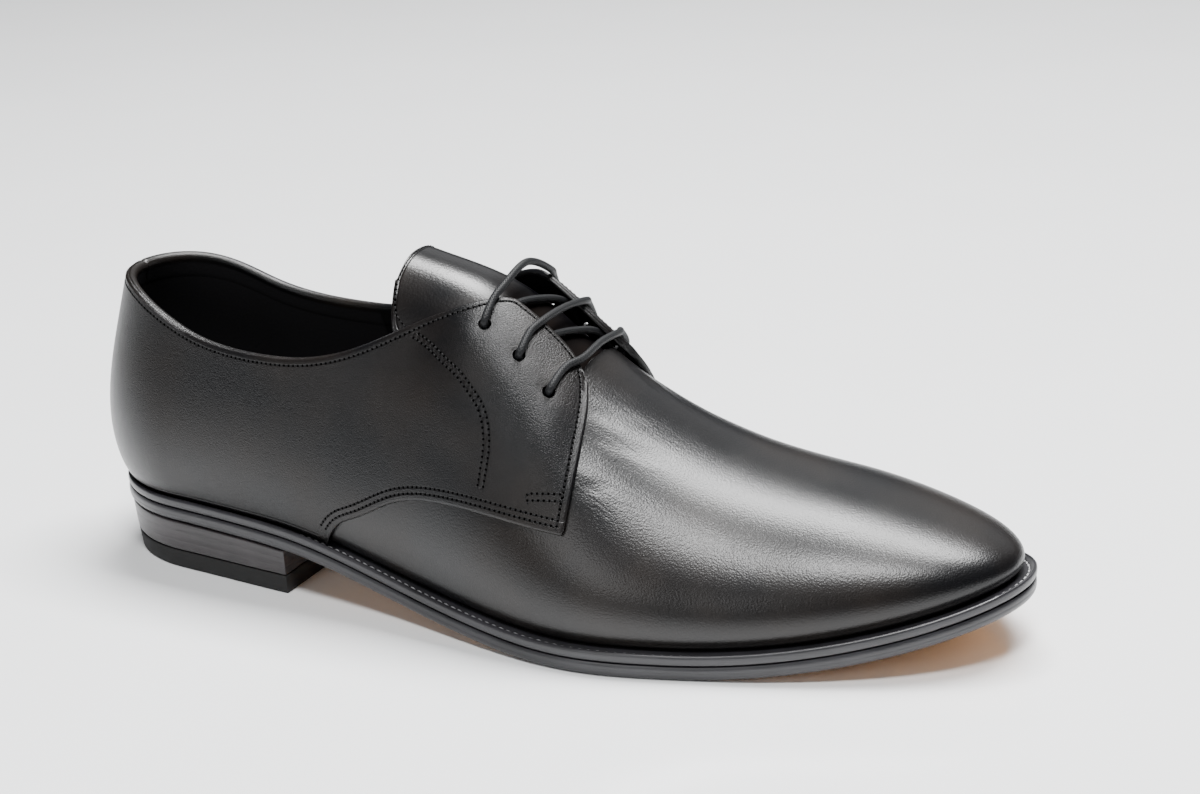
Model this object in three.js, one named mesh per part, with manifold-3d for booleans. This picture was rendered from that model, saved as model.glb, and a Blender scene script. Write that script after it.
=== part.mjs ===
// Plain-toe derby shoe in black leather, right foot of a pair, standing empty on a floor.
// Millimetres. +X runs from heel to toe, +Y to the inner (medial) side of the foot, +Z up.
import * as THREE from "three";
import Module from "manifold-3d";

const wasm = await Module();
wasm.setup();

// Last and sole: driving sizes
const LENGTH = 305; // outsole, heel back to toe tip
const BALL_WIDTH = 104; // outsole across the ball
const HEEL_HEIGHT = 17; // underside of the outsole over the floor at the heel back
const TOE_SPRING = 17; // underside of the outsole over the floor at the toe tip
const INSTEP_HEIGHT = 94; // ridge of the last over the welt at the instep
const BACK_HEIGHT = 70; // topline over the welt at the heel back
const OUTSOLE = 4.4; // outsole leather
const WELT = 2.4; // welt leather under its stitched channel
const WELT_RIDGE = 0.7; // raised outer edge of the welt
const WELT_WIDTH = 14; // welt strip, outer edge to inner edge
const WELT_MARGIN = 4.4; // welt that shows in front of the upper at the toe
const TOP_PIECE = 6; // rubber top piece under the heel stack
const HEEL_TAPER = 2.5; // how far the heel draws in at the back, floor against seat
const HEEL_DRAW = 0.8; // how far the heel draws in at its sides
const HEEL_STEP = 0.5; // heel inside the outsole's edge at the seat
const INSOLE = 2.2; // insole over the welt
const EDGE_BEVEL = 1.8; // round of the outsole's lower edge

// Upper: driving sizes
const WALL = 1.6; // vamp and lining
const QUARTER = 1.5; // quarter leather laid over the wall
const TONGUE = 1.8; // tongue, leather and lining
const SIDE_BULGE = 4; // swell of the sides over the welt
const BULGE_HEIGHT = 20; // height of that swell over the welt
const TUCK = 1.5; // how far the upper turns in where it meets the welt
const TUCK_HEIGHT = 1.6; // height over which it swells out again
const FACING_GAP = 13; // free edge of a facing to the middle line
const FACING_LIFT = 2.6; // how far the facings stand off the tongue
const THROAT_OUTER = 32; // wall's opening under the outer facing, from the middle line
const THROAT_INNER = 24; // the same under the inner facing
const TONGUE_CLEAR = 1.7; // tongue to the wall over it
const GAP = 0.3; // clearance between pieces that touch

// Laces
const LACE = 2.6; // lace diameter
const EYELET = 4.2; // punched hole
const EYELET_EDGE = 8.5; // hole to the free edge of the facing, seen from above
const BAR_RISE = 1; // arch of a taut lace bar between the facings
const LACE_CLEAR = 0.7; // lace to the facing it crosses
const LACE_UNDER = 1.3; // lace to the facing over it, on the inside
const HIDDEN_RUN = 1.1; // hidden end, as a share of the way to the eyelets
const LACE_SIDES = 8;

// Shares of LENGTH
const BREAST = 0.257; // front face of the heel
const HEEL_ROUND = 0.115; // where the heel's round end starts
const TOE_ROUND = 0.72; // where the toe's round end starts
const TOE_DOME = 0.8; // where the toe's height starts to fall
const FLAT_END = 0.7; // end of the tread that lies on the floor
const FAN_CENTRE = 0.13; // heel sections turn about this point
const FAN_SOFTNESS = 0.026;
const SEAM_ZONE = 0.12; // stretch at each end where both sides grow alike
const END_ZONE = 0.2; // stretch at each end where layers differ in length
const THROAT_START = 0.4; // back of the wall's opening, inside the collar
const THROAT_END = 0.566; // front of the wall's opening
const THROAT_REACH = 0.042; // length of the opening's rounded front
const THROAT_NECK = 0.67; // width of the opening at its back, as a share of its full width
const COLLAR_END = 0.478; // front of the collar's cut

// Exponents of the round ends
const HEEL_CURVE = 2.2;
const TOE_CURVE = 2.5;
const DOME_CURVE = 2.2;
const SPRING_CURVE = 1.9;
const THROAT_CURVE = 3.5;

const RIDGE_FADE = 6; // how late the swell of the sides fades out towards the ridge

const STATIONS = 40; // sections along the shoe
const LEVELS = 10; // points from the welt to the ridge
const LEVEL_CURVE = 1.25; // draws the levels together near the welt
const HEEL_STATIONS = 20;

// Outline: shares of BALL_WIDTH from the middle line, and the line's swing to the inner side
const PLAN = [
  { at: 0.0, lateral: 0.275, medial: 0.275, swing: 0.0 },
  { at: 0.11, lateral: 0.306, medial: 0.306, swing: 0.0 },
  { at: 0.25, lateral: 0.358, medial: 0.312, swing: 0.0 },
  { at: 0.4, lateral: 0.412, medial: 0.285, swing: 0.0 },
  { at: 0.52, lateral: 0.498, medial: 0.325, swing: 0.003 },
  { at: 0.62, lateral: 0.543, medial: 0.39, swing: 0.016 },
  { at: 0.72, lateral: 0.512, medial: 0.44, swing: 0.045 },
  { at: 0.84, lateral: 0.452, medial: 0.44, swing: 0.072 },
  { at: 1.0, lateral: 0.37, medial: 0.37, swing: 0.06 },
];

// Underside of the outsole behind the tread: share of HEEL_HEIGHT
const ARCH = [
  { at: 0.0, rise: 1.0 },
  { at: 0.1, rise: 0.985 },
  { at: 0.2, rise: 0.94 },
  { at: 0.26, rise: 0.87 },
  { at: 0.32, rise: 0.68 },
  { at: 0.38, rise: 0.43 },
  { at: 0.44, rise: 0.23 },
  { at: 0.5, rise: 0.1 },
  { at: 0.56, rise: 0.02 },
  { at: 0.6, rise: 0.0 },
];

// Welt that shows: share of WELT_MARGIN
const MARGIN = [
  { at: 0.0, share: 0.59 },
  { at: 0.25, share: 0.7 },
  { at: 0.5, share: 0.86 },
  { at: 0.65, share: 0.9 },
  { at: 0.85, share: 0.98 },
  { at: 1.0, share: 1.0 },
];

// Ridge of the last over the welt: share of INSTEP_HEIGHT
const RIDGE = [
  { at: 0.0, height: 0.93 },
  { at: 0.15, height: 0.97 },
  { at: 0.28, height: 1.0 },
  { at: 0.38, height: 1.0 },
  { at: 0.44, height: 0.99 },
  { at: 0.48, height: 0.955 },
  { at: 0.52, height: 0.875 },
  { at: 0.56, height: 0.765 },
  { at: 0.6, height: 0.665 },
  { at: 0.7, height: 0.49 },
  { at: 0.8, height: 0.383 },
  { at: 0.9, height: 0.29 },
  { at: 1.0, height: 0.21 },
];

// Sections of the last: the exponent of the arc on each side, the ridge's shift to the
// inner side as a share of BALL_WIDTH, the swell of each side as a share of SIDE_BULGE and
// its height as a share of BULGE_HEIGHT
const SECTIONS = [
  { at: 0.0, outer: 3.2, inner: 3.2, ridge: 0.0, bulgeOut: 1.1, bulgeIn: 1.1, rise: 1.1 },
  { at: 0.15, outer: 3.0, inner: 3.0, ridge: 0.0, bulgeOut: 0.9, bulgeIn: 1.0, rise: 1.0 },
  { at: 0.35, outer: 2.4, inner: 2.7, ridge: 0.0, bulgeOut: 0.5, bulgeIn: 1.6, rise: 0.95 },
  { at: 0.5, outer: 2.15, inner: 2.5, ridge: -0.01, bulgeOut: 0.4, bulgeIn: 1.5, rise: 0.8 },
  { at: 0.7, outer: 2.1, inner: 2.2, ridge: 0.02, bulgeOut: 0.5, bulgeIn: 0.7, rise: 0.6 },
  { at: 0.85, outer: 2.3, inner: 2.3, ridge: 0.015, bulgeOut: 0.5, bulgeIn: 0.5, rise: 0.5 },
  { at: 1.0, outer: 2.4, inner: 2.4, ridge: 0.0, bulgeOut: 0.5, bulgeIn: 0.5, rise: 0.5 },
];

// Topline of the collar, heel back to facing top: share of BACK_HEIGHT over the welt
const TOPLINE = [
  { at: -0.1, height: 1.0 },
  { at: 0.0, height: 1.0 },
  { at: 0.06, height: 0.97 },
  { at: 0.1, height: 0.905 },
  { at: 0.14, height: 0.835 },
  { at: 0.18, height: 0.797 },
  { at: 0.23, height: 0.787 },
  { at: 0.28, height: 0.815 },
  { at: 0.34, height: 0.925 },
  { at: 0.4, height: 1.1 },
  { at: 0.45, height: 1.235 },
  { at: 0.48, height: 1.29 },
  { at: 0.5, height: 1.31 },
];

// Lower edge of the quarter: share of BACK_HEIGHT over the welt
const QUARTER_EDGE = [
  { at: 0.295, height: -0.2 },
  { at: 0.31, height: 0.0 },
  { at: 0.35, height: 0.215 },
  { at: 0.4, height: 0.375 },
  { at: 0.45, height: 0.455 },
  { at: 0.5, height: 0.48 },
  { at: 0.56, height: 0.475 },
  { at: 0.61, height: 0.455 },
];

// Free edge of the facing seen from above: shares of FACING_GAP from the middle line
const FACING_EDGE = [
  { at: 0.435, out: 1.28 },
  { at: 0.455, out: 1.14 },
  { at: 0.475, out: 1.05 },
  { at: 0.5, out: 1.01 },
  { at: 0.53, out: 0.96 },
  { at: 0.555, out: 1.0 },
  { at: 0.572, out: 1.25 },
  { at: 0.583, out: 1.75 },
  { at: 0.59, out: 2.5 },
  { at: 0.593, out: 3.4 },
  { at: 0.59, out: 5.0 },
];

// Stretch where the facings stand free: shares of LENGTH, and angles over the welt
const FREE = { start: 0.41, full: 0.48, close: 0.56, end: 0.6, low: 0.45, high: 1.0 };

// Side of the outsole: inset as a share of EDGE_BEVEL, height as a share of OUTSOLE
const SOLE_SIDE = [
  { inset: 1.0, height: 0.0 },
  { inset: 0.25, height: 0.14 },
  { inset: 0.0, height: 0.5 },
  { inset: 0.17, height: 0.9 },
  { inset: 0.39, height: 1.0 },
];

// Side and top of the welt: inset in shares of WELT_WIDTH, height as shares of WELT and
// of WELT_RIDGE
const WELT_SIDE = [
  { inset: 0.043, height: 0.0, ridge: 0.0 },
  { inset: 0.0, height: 0.4, ridge: 0.0 },
  { inset: 0.0, height: 1.0, ridge: 0.4 },
  { inset: 0.036, height: 1.0, ridge: 1.0 },
  { inset: 0.086, height: 1.0, ridge: 1.0 },
  { inset: 0.136, height: 1.0, ridge: 0.0 },
  { inset: 1.0, height: 1.0, ridge: 0.0 },
  { inset: 1.0, height: 0.0, ridge: 0.0 },
];

// Tongue: half of its width as a share of the opening over it
const TONGUE_WIDTH = [
  { at: 0.372, half: 0.48 },
  { at: 0.376, half: 0.635 },
  { at: 0.384, half: 0.74 },
  { at: 0.4, half: 0.79 },
  { at: 0.46, half: 0.77 },
  { at: 0.53, half: 0.71 },
  { at: 0.6, half: 0.6 },
];

const TONGUE_CORNER = 4; // rows of the table that shape the tongue's rounded top

// Eyelets, top to bottom: distance to the outer and the inner facing's edge as shares of
// EYELET_EDGE, and the arch of the lace bar as a share of BAR_RISE
const EYELETS = [
  { at: 0.485, outer: 1.12, inner: 1.0, rise: 5.0 },
  { at: 0.522, outer: 1.3, inner: 1.0, rise: 1.0 },
  { at: 0.555, outer: 1.59, inner: 1.0, rise: 1.0 },
];

const LATERAL = -1;
const MEDIAL = 1;
const BULGE_PEAK = 27 / 4; // makes t * (1 - t) ** 2 peak at 1

// Natural cubic spline through one column of a table, straight beyond its ends
function along(rows, name, scale = 1) {
  const xs = rows.map((row) => row.at * LENGTH);
  const ys = rows.map((row) => row[name] * scale);
  const last = xs.length - 1;
  const bend = new Array(last + 1).fill(0);
  const diagonal = new Array(last + 1).fill(1);
  for (let i = 1; i < last; i += 1) {
    const before = xs[i] - xs[i - 1];
    const after = xs[i + 1] - xs[i];
    const jump = (ys[i + 1] - ys[i]) / after - (ys[i] - ys[i - 1]) / before;
    const factor = i > 1 ? before / diagonal[i - 1] : 0;
    diagonal[i] = 2 * (before + after) - factor * before;
    bend[i] = 6 * jump - factor * bend[i - 1];
  }
  for (let i = last - 1; i > 0; i -= 1) {
    const after = xs[i + 1] - xs[i];
    bend[i] = (bend[i] - after * bend[i + 1]) / diagonal[i];
  }
  const slope = (i, from, to) => {
    const step = xs[i + 1] - xs[i];
    return (ys[i + 1] - ys[i]) / step - (step * (from * bend[i] + to * bend[i + 1])) / 6;
  };
  return (x) => {
    if (x <= xs[0]) return ys[0] + slope(0, 2, 1) * (x - xs[0]);
    if (x >= xs[last]) return ys[last] + slope(last - 1, -1, -2) * (x - xs[last]);
    let i = 0;
    while (x > xs[i + 1]) i += 1;
    const step = xs[i + 1] - xs[i];
    const a = xs[i + 1] - x;
    const b = x - xs[i];
    const cubic = (bend[i] * a ** 3 + bend[i + 1] * b ** 3) / (6 * step);
    const left = (ys[i] / step - (bend[i] * step) / 6) * a;
    const right = (ys[i + 1] / step - (bend[i + 1] * step) / 6) * b;
    return cubic + left + right;
  };
}

const outline = {
  [LATERAL]: along(PLAN, "lateral", BALL_WIDTH),
  [MEDIAL]: along(PLAN, "medial", BALL_WIDTH),
};
const swing = along(PLAN, "swing", BALL_WIDTH);
const archRise = along(ARCH, "rise", HEEL_HEIGHT);
const weltMargin = along(MARGIN, "share", WELT_MARGIN);
const ridgeHeight = along(RIDGE, "height", INSTEP_HEIGHT);
const fullness = {
  [LATERAL]: along(SECTIONS, "outer"),
  [MEDIAL]: along(SECTIONS, "inner"),
};
const ridgeShift = along(SECTIONS, "ridge", BALL_WIDTH);
const sideBulge = {
  [LATERAL]: along(SECTIONS, "bulgeOut", SIDE_BULGE),
  [MEDIAL]: along(SECTIONS, "bulgeIn", SIDE_BULGE),
};
const bulgeRise = along(SECTIONS, "rise", BULGE_HEIGHT);
const topline = along(TOPLINE, "height", BACK_HEIGHT);
const quarterEdge = along(QUARTER_EDGE, "height", BACK_HEIGHT);
const tongueHalf = {
  [LATERAL]: along(TONGUE_WIDTH, "half", THROAT_OUTER),
  [MEDIAL]: along(TONGUE_WIDTH, "half", THROAT_INNER),
};

const clamp = (value) => Math.min(1, Math.max(0, value));
const smooth = (from, to, x) => {
  const t = clamp((x - from) / (to - from));
  return t * t * (3 - 2 * t);
};

// Underside of the outsole over the floor
function soleUnder(x) {
  const share = x / LENGTH;
  if (share < ARCH.at(-1).at) return Math.max(0, archRise(x));
  if (share < FLAT_END) return 0;
  return TOE_SPRING * ((share - FLAT_END) / (1 - FLAT_END)) ** SPRING_CURVE;
}

const weltUnder = (x) => soleUnder(x) + OUTSOLE + GAP;
const weltTop = (x) => weltUnder(x) + WELT;
const feather = (x) => weltTop(x) + GAP;

// Ends of an outline that lies `inset(x)` inside the sole's edge
function ends(inset) {
  return [inset(0), LENGTH - inset(LENGTH)];
}

// Half width from the middle line, with round heel and toe
function halfWidth(side, x, inset) {
  const [back, front] = ends(inset);
  const toe = clamp((x - TOE_ROUND * LENGTH) / (front - TOE_ROUND * LENGTH));
  const heel = clamp((HEEL_ROUND * LENGTH - x) / (HEEL_ROUND * LENGTH - back));
  const width = outline[side](x) - inset(x);
  return width * Math.sqrt(1 - toe ** TOE_CURVE) * Math.sqrt(1 - heel ** HEEL_CURVE);
}

// Places along an outline, closer together at its round ends. Away from the ends they are
// the same for every inset, so that layers stay parallel
function station(inset, share) {
  const [back, front] = ends(inset);
  if (share <= 0) return back;
  if (share >= 1) return front;
  const x = (LENGTH * (1 - Math.cos(Math.PI * share))) / 2;
  const fromBack = clamp(1 - x / (END_ZONE * LENGTH)) ** 2;
  const fromFront = clamp(1 - (LENGTH - x) / (END_ZONE * LENGTH)) ** 2;
  return x + back * fromBack - (LENGTH - front) * fromFront;
}

// Inset of the last's surface pushed out by `out`
const lastInset = (out) => (x) => weltMargin(x) - out;

// Outward direction of the outline in plan
function outward(side, x, inset) {
  const [back, front] = ends(inset);
  if (x <= back) return new THREE.Vector2(-1, 0);
  if (x >= front) return new THREE.Vector2(1, 0);
  const step = Math.min((x - back) / 2, (front - x) / 2, LENGTH / 1000);
  const a = x - step;
  const b = x + step;
  const edge = (t) => side * swing(t) + halfWidth(side, t, inset);
  return new THREE.Vector2(-(edge(b) - edge(a)), b - a).normalize();
}

// A value of one side, drawn to the mean of both where `apart` falls to 0
function sided(pair, side, x, apart) {
  const mean = (pair[LATERAL](x) + pair[MEDIAL](x)) / 2;
  return mean + (pair[side](x) - mean) * apart;
}

const middleLine = (x) => swing(x) + ridgeShift(x);

// Where the facings stand off the tongue: 0 to 1
function liftShare(x, angle) {
  const share = x / LENGTH;
  const lengthwise = smooth(FREE.start, FREE.full, share)
    * (1 - smooth(FREE.close, FREE.end, share));
  return lengthwise * smooth(FREE.low, FREE.high, angle);
}

// Point of the last's surface pushed out by `out`: `angle` runs from 0 at the welt to
// a right angle on the ridge, and `lift` raises the facings
function lastPoint(side, x, angle, out, lift = 0) {
  const inset = lastInset(out);
  const [back, front] = ends(inset);
  const normal = outward(side, x, inset);
  const opposite = outward(-side, x, inset);
  const centre = FAN_CENTRE * LENGTH;
  const softness = FAN_SOFTNESS * LENGTH;
  const spine = centre + softness * Math.log1p(Math.exp((x - centre) / softness));
  const shiftFade = Math.sqrt(clamp((front - spine) / (END_ZONE * LENGTH)));
  const spineY = swing(spine) + ridgeShift(spine) * shiftFade;
  const apart = smooth(back, back + SEAM_ZONE * LENGTH, x)
    * (1 - smooth(front - SEAM_ZONE * LENGTH, front, x));
  const power = sided(fullness, side, spine, apart);
  const radius = (Math.cos(angle) ** power + Math.sin(angle) ** power) ** (-1 / power);
  const across = Math.max(0, Math.cos(angle)) * radius;
  const up = Math.sin(angle) * radius;
  const fall = clamp((spine - TOE_DOME * LENGTH) / (front - TOE_DOME * LENGTH));
  const dome = (1 - fall ** DOME_CURVE) ** (1 / DOME_CURVE);
  const ridge = feather(spine) + (ridgeHeight(spine) + out) * dome;
  const low = feather(x);
  const height = (ridge - low) * up;
  const swell = clamp(height / (3 * bulgeRise(x)));
  const fade = 1 - up ** RIDGE_FADE;
  const bulge = sided(sideBulge, side, x, apart * fade) * swell * (1 - swell) ** 2;
  const push = BULGE_PEAK * bulge - TUCK * Math.exp(-Math.max(0, height) / TUCK_HEIGHT);
  const pushX = normal.x * fade + ((normal.x + opposite.x) / 2) * (1 - fade);
  const pushY = side * normal.y * fade;
  const edgeY = swing(x) + side * halfWidth(side, x, inset);
  const raised = lift * liftShare(x, angle);
  return new THREE.Vector3(
    spine + (x - spine) * across + pushX * push,
    spineY + (edgeY - spineY) * across + pushY * push + side * raised * across,
    low + height + raised * up,
  );
}

// Angle at which the section at x stands `distance` away from its middle line
function angleAt(side, x, distance, out) {
  let low = 0;
  let high = Math.PI / 2;
  for (let i = 0; i < 40; i += 1) {
    const middle = (low + high) / 2;
    const away = side * (lastPoint(side, x, middle, out).y - middleLine(x));
    if (away > distance) low = middle;
    else high = middle;
  }
  return (low + high) / 2;
}

// Closed triangle mesh from corner points, with equal points made one
function meshFrom(triangles) {
  const index = new Map();
  const positions = [];
  const faces = [];
  const vertex = (point) => {
    const key = [point.x, point.y, point.z].map((value) => Math.round(value * 1e4)).join(" ");
    if (!index.has(key)) {
      index.set(key, positions.length / 3);
      positions.push(point.x, point.y, point.z);
    }
    return index.get(key);
  };
  let volume = 0;
  for (const [a, b, c] of triangles) {
    const ids = [vertex(a), vertex(b), vertex(c)];
    if (ids[0] === ids[1] || ids[1] === ids[2] || ids[2] === ids[0]) continue;
    faces.push(ids);
    volume += a.dot(b.clone().cross(c));
  }
  const geometry = new THREE.BufferGeometry();
  geometry.setAttribute("position", new THREE.Float32BufferAttribute(positions, 3));
  geometry.setIndex(faces.flatMap((ids) => (volume < 0 ? [ids[0], ids[2], ids[1]] : ids)));
  return geometry;
}

// End of a loft: the second half of its ring runs back beside the first half
function cap(ring) {
  const triangles = [];
  const last = ring.length - 1;
  for (let j = 0; j < last - j - 1; j += 1) {
    const [a, b, c, d] = [ring[j], ring[j + 1], ring[last - j - 1], ring[last - j]];
    triangles.push([a, b, c], [a, c, d]);
  }
  return triangles;
}

// Skin over a row of closed rings; `caps` adds flat ends, `round` joins the last to the first
function loft(rings, { caps = false, round = false } = {}) {
  const triangles = [];
  const count = rings[0].length;
  const steps = round ? rings.length : rings.length - 1;
  for (let i = 0; i < steps; i += 1) {
    const here = rings[i];
    const next = rings[(i + 1) % rings.length];
    for (let j = 0; j < count; j += 1) {
      const k = (j + 1) % count;
      triangles.push([here[j], next[j], next[k]], [here[j], next[k], here[k]]);
    }
  }
  if (caps) {
    triangles.push(...cap(rings[0]));
    triangles.push(...cap(rings.at(-1)).map(([a, b, c]) => [a, c, b]));
  }
  return meshFrom(triangles);
}

function solidOf(geometry) {
  const points = [];
  const source = geometry.index ? geometry.toNonIndexed() : geometry;
  const position = source.getAttribute("position");
  for (let i = 0; i < position.count; i += 1) {
    points.push(new THREE.Vector3().fromBufferAttribute(position, i));
  }
  const triangles = [];
  for (let i = 0; i < points.length; i += 3) triangles.push(points.slice(i, i + 3));
  const merged = meshFrom(triangles);
  const vertProperties = new Float32Array(merged.getAttribute("position").array);
  const triVerts = new Uint32Array(merged.index.array);
  return new wasm.Manifold(new wasm.Mesh({ numProp: 3, vertProperties, triVerts }));
}

function geometryOf(solid) {
  const mesh = solid.getMesh();
  const geometry = new THREE.BufferGeometry();
  const positions = new Float32Array(mesh.vertProperties);
  geometry.setAttribute("position", new THREE.BufferAttribute(positions, 3));
  geometry.setIndex(Array.from(mesh.triVerts));
  return geometry;
}

// The last pushed out by `out`, as a closed block that reaches `drop` under the welt's top
function lastBlock(out, drop, lift = 0) {
  const inset = lastInset(out);
  const rings = [];
  for (let i = 0; i <= STATIONS; i += 1) {
    const x = station(inset, i / STATIONS);
    const ring = [];
    for (let j = 0; j <= LEVELS; j += 1) {
      ring.push(lastPoint(LATERAL, x, levelAngle(j), out, lift));
    }
    for (let j = LEVELS - 1; j >= 0; j -= 1) {
      ring.push(lastPoint(MEDIAL, x, levelAngle(j), out, lift));
    }
    const down = new THREE.Vector3(0, 0, -drop);
    ring.push(ring[ring.length - 1].clone().add(down), ring[0].clone().add(down));
    rings.push(ring);
  }
  return solidOf(loft(rings));
}

// Levels lie closer together near the welt
function levelAngle(level) {
  return (Math.PI / 2) * (level / LEVELS) ** LEVEL_CURVE;
}

// Prism along Y from an outline in X and Z
function sidePrism(points, from, to) {
  const shape = new THREE.Shape(points);
  const prism = new THREE.ExtrudeGeometry(shape, { depth: to - from, bevelEnabled: false });
  prism.rotateX(Math.PI / 2);
  prism.translate(0, to, 0);
  return solidOf(prism);
}

// Prism along Z from an outline in X and Y
function planPrism(points, from, to) {
  const shape = new THREE.Shape(points);
  const prism = new THREE.ExtrudeGeometry(shape, { depth: to - from, bevelEnabled: false });
  prism.translate(0, 0, from);
  return solidOf(prism);
}

const FAR = 2 * LENGTH; // beyond the whole shoe
const BEHIND = -0.05 * LENGTH; // behind the heel
const spread = (from, to, count) =>
  Array.from({ length: count + 1 }, (_, i) => from + ((to - from) * i) / count);

// Everything over the topline, behind the front of the collar
function collarCut(end) {
  const curve = spread(BEHIND, end * LENGTH, 36).map(
    (x) => new THREE.Vector2(x, feather(x) + topline(x)),
  );
  const top = [new THREE.Vector2(end * LENGTH, FAR), new THREE.Vector2(BEHIND, FAR)];
  return sidePrism([...curve, ...top], -FAR, FAR);
}

// Opening of the wall under the facings, with a full rounded front
function throatCut() {
  const front = THROAT_END * LENGTH;
  const reach = THROAT_REACH * LENGTH;
  const arc = spread(-1, 1, 20).map((share) => {
    const turn = (share * Math.PI) / 2;
    const round = (value) => Math.sign(value) * Math.abs(value) ** (2 / THROAT_CURVE);
    const x = front - reach + reach * round(Math.cos(turn));
    const half = share < 0 ? THROAT_OUTER : THROAT_INNER;
    return new THREE.Vector2(x, middleLine(x) + half * round(Math.sin(turn)));
  });
  const back = THROAT_START * LENGTH;
  const start = [
    new THREE.Vector2(back, middleLine(back) + THROAT_NECK * THROAT_INNER),
    new THREE.Vector2(back, middleLine(back) - THROAT_NECK * THROAT_OUTER),
  ];
  return planPrism([...arc, ...start], feather(front), FAR);
}

// Upper: one hollow wall, open at collar and throat and underneath
function upper() {
  const outer = lastBlock(0, 0);
  const inner = lastBlock(-WALL, 3 * WALL);
  const wall = outer.subtract(inner);
  return geometryOf(wall.subtract(collarCut(COLLAR_END)).subtract(throatCut()));
}

// Side view of a quarter, up to its topline
function quarterSide() {
  const start = QUARTER_EDGE[0].at * LENGTH;
  const corner = QUARTER_EDGE.at(-1).at * LENGTH;
  const low = spread(start, corner, 26).map(
    (x) => new THREE.Vector2(x, feather(x) + quarterEdge(x)),
  );
  const rest = [
    new THREE.Vector2(corner, FAR),
    new THREE.Vector2(BEHIND, FAR),
    new THREE.Vector2(BEHIND, -HEEL_HEIGHT),
    new THREE.Vector2(start, -HEEL_HEIGHT),
  ];
  return sidePrism([...low, ...rest], -FAR, FAR).subtract(collarCut(TOPLINE.at(-1).at));
}

// Plan view of a quarter, out from the free edge of its facing
function quarterPlan(side) {
  const rows = FACING_EDGE.map((row) => {
    const x = row.at * LENGTH;
    return new THREE.Vector2(x, middleLine(x) + side * row.out * FACING_GAP);
  });
  const edge = new THREE.SplineCurve(rows).getPoints(34);
  const seam = side * (GAP / 2);
  const rest = [
    new THREE.Vector2(rows.at(-1).x, side * FAR),
    new THREE.Vector2(BEHIND, side * FAR),
    new THREE.Vector2(BEHIND, seam),
    new THREE.Vector2(rows[0].x - FACING_GAP / 2, seam),
  ];
  return planPrism([...edge, ...rest], -HEEL_HEIGHT, FAR);
}

// Distance of an eyelet from the middle line
function eyeletAway(side, row) {
  return FACING_GAP + EYELET_EDGE * (side === LATERAL ? row.outer : row.inner);
}

// Frame of an eyelet: its place on the middle of the facing and the facing's outward normal
function eyelet(side, row) {
  const x = row.at * LENGTH;
  const out = GAP + QUARTER / 2;
  const angle = angleAt(side, x, eyeletAway(side, row), out);
  const at = (dx, da) => lastPoint(side, x + dx, angle + da, out, FACING_LIFT);
  const place = at(0, 0);
  const lengthwise = at(1, 0).sub(at(-1, 0));
  const upward = at(0, 0.02).sub(at(0, -0.02));
  const normal = lengthwise.cross(upward).normalize();
  if (normal.z < 0) normal.negate();
  return { place, normal };
}

const eyelets = {
  [LATERAL]: EYELETS.map((row) => eyelet(LATERAL, row)),
  [MEDIAL]: EYELETS.map((row) => eyelet(MEDIAL, row)),
};

function eyeletCut({ place, normal }) {
  const cut = new THREE.CylinderGeometry(EYELET / 2, EYELET / 2, 6 * QUARTER, 16);
  const turn = new THREE.Quaternion().setFromUnitVectors(new THREE.Vector3(0, 1, 0), normal);
  cut.applyQuaternion(turn);
  cut.translate(place.x, place.y, place.z);
  return solidOf(cut);
}

// Quarter: a skin over the wall, from the back seam to the facing
function quarter(side) {
  const outer = lastBlock(GAP + QUARTER, 0, FACING_LIFT);
  const inner = lastBlock(GAP, 3 * WALL, FACING_LIFT);
  let skin = outer.subtract(inner).intersect(quarterSide()).intersect(quarterPlan(side));
  for (const hole of eyelets[side]) skin = skin.subtract(eyeletCut(hole));
  return geometryOf(skin);
}

// Tongue: a sheet under the wall and the facings
function tongue() {
  const outer = -WALL - TONGUE_CLEAR;
  const across = 6;
  const rings = [];
  const corner = TONGUE_WIDTH.slice(0, TONGUE_CORNER).map((row) => row.at);
  const body = spread(corner.at(-1), TONGUE_WIDTH.at(-1).at, 10).slice(1);
  for (const share of [...corner, ...body]) {
    const x = share * LENGTH;
    const row = (out) => {
      const points = [];
      for (let j = -across; j <= across; j += 1) {
        const side = j < 0 ? LATERAL : MEDIAL;
        const distance = (Math.abs(j) / across) * tongueHalf[side](x);
        const angle = j === 0 ? Math.PI / 2 : angleAt(side, x, distance, out);
        points.push(lastPoint(side, x, angle, out));
      }
      return points;
    };
    rings.push([...row(outer), ...row(outer - TONGUE).reverse()]);
  }
  return loft(rings, { caps: true });
}

// Point of a layer's edge, from `inset(x)` inside the sole's edge and `height(x)`
function edgePoint(side, share, [inset, height]) {
  const x = station(inset, share);
  return new THREE.Vector3(x, swing(x) + side * halfWidth(side, x, inset), height(x));
}

// Layer over the whole shoe whose side is `profile`, from the bottom up
function plate(profile) {
  const rings = spread(0, 1, STATIONS).map((share) => [
    ...profile.map((row) => edgePoint(LATERAL, share, row)),
    ...profile.map((row) => edgePoint(MEDIAL, share, row)).reverse(),
  ]);
  return loft(rings);
}

// Strip round the whole shoe with the closed section `profile`
function strip(profile) {
  const rings = [];
  for (let i = 0; i <= STATIONS; i += 1) {
    rings.push(profile.map((row) => edgePoint(LATERAL, i / STATIONS, row)));
  }
  for (let i = STATIONS - 1; i > 0; i -= 1) {
    rings.push(profile.map((row) => edgePoint(MEDIAL, i / STATIONS, row)));
  }
  return loft(rings, { round: true });
}

function outsole() {
  return plate(SOLE_SIDE.map((row) => [
    () => EDGE_BEVEL * row.inset,
    (x) => soleUnder(x) + OUTSOLE * row.height,
  ]));
}

function welt() {
  return strip(WELT_SIDE.map((row) => [
    () => WELT_WIDTH * row.inset,
    (x) => weltUnder(x) + WELT * row.height + WELT_RIDGE * row.ridge,
  ]));
}

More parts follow.
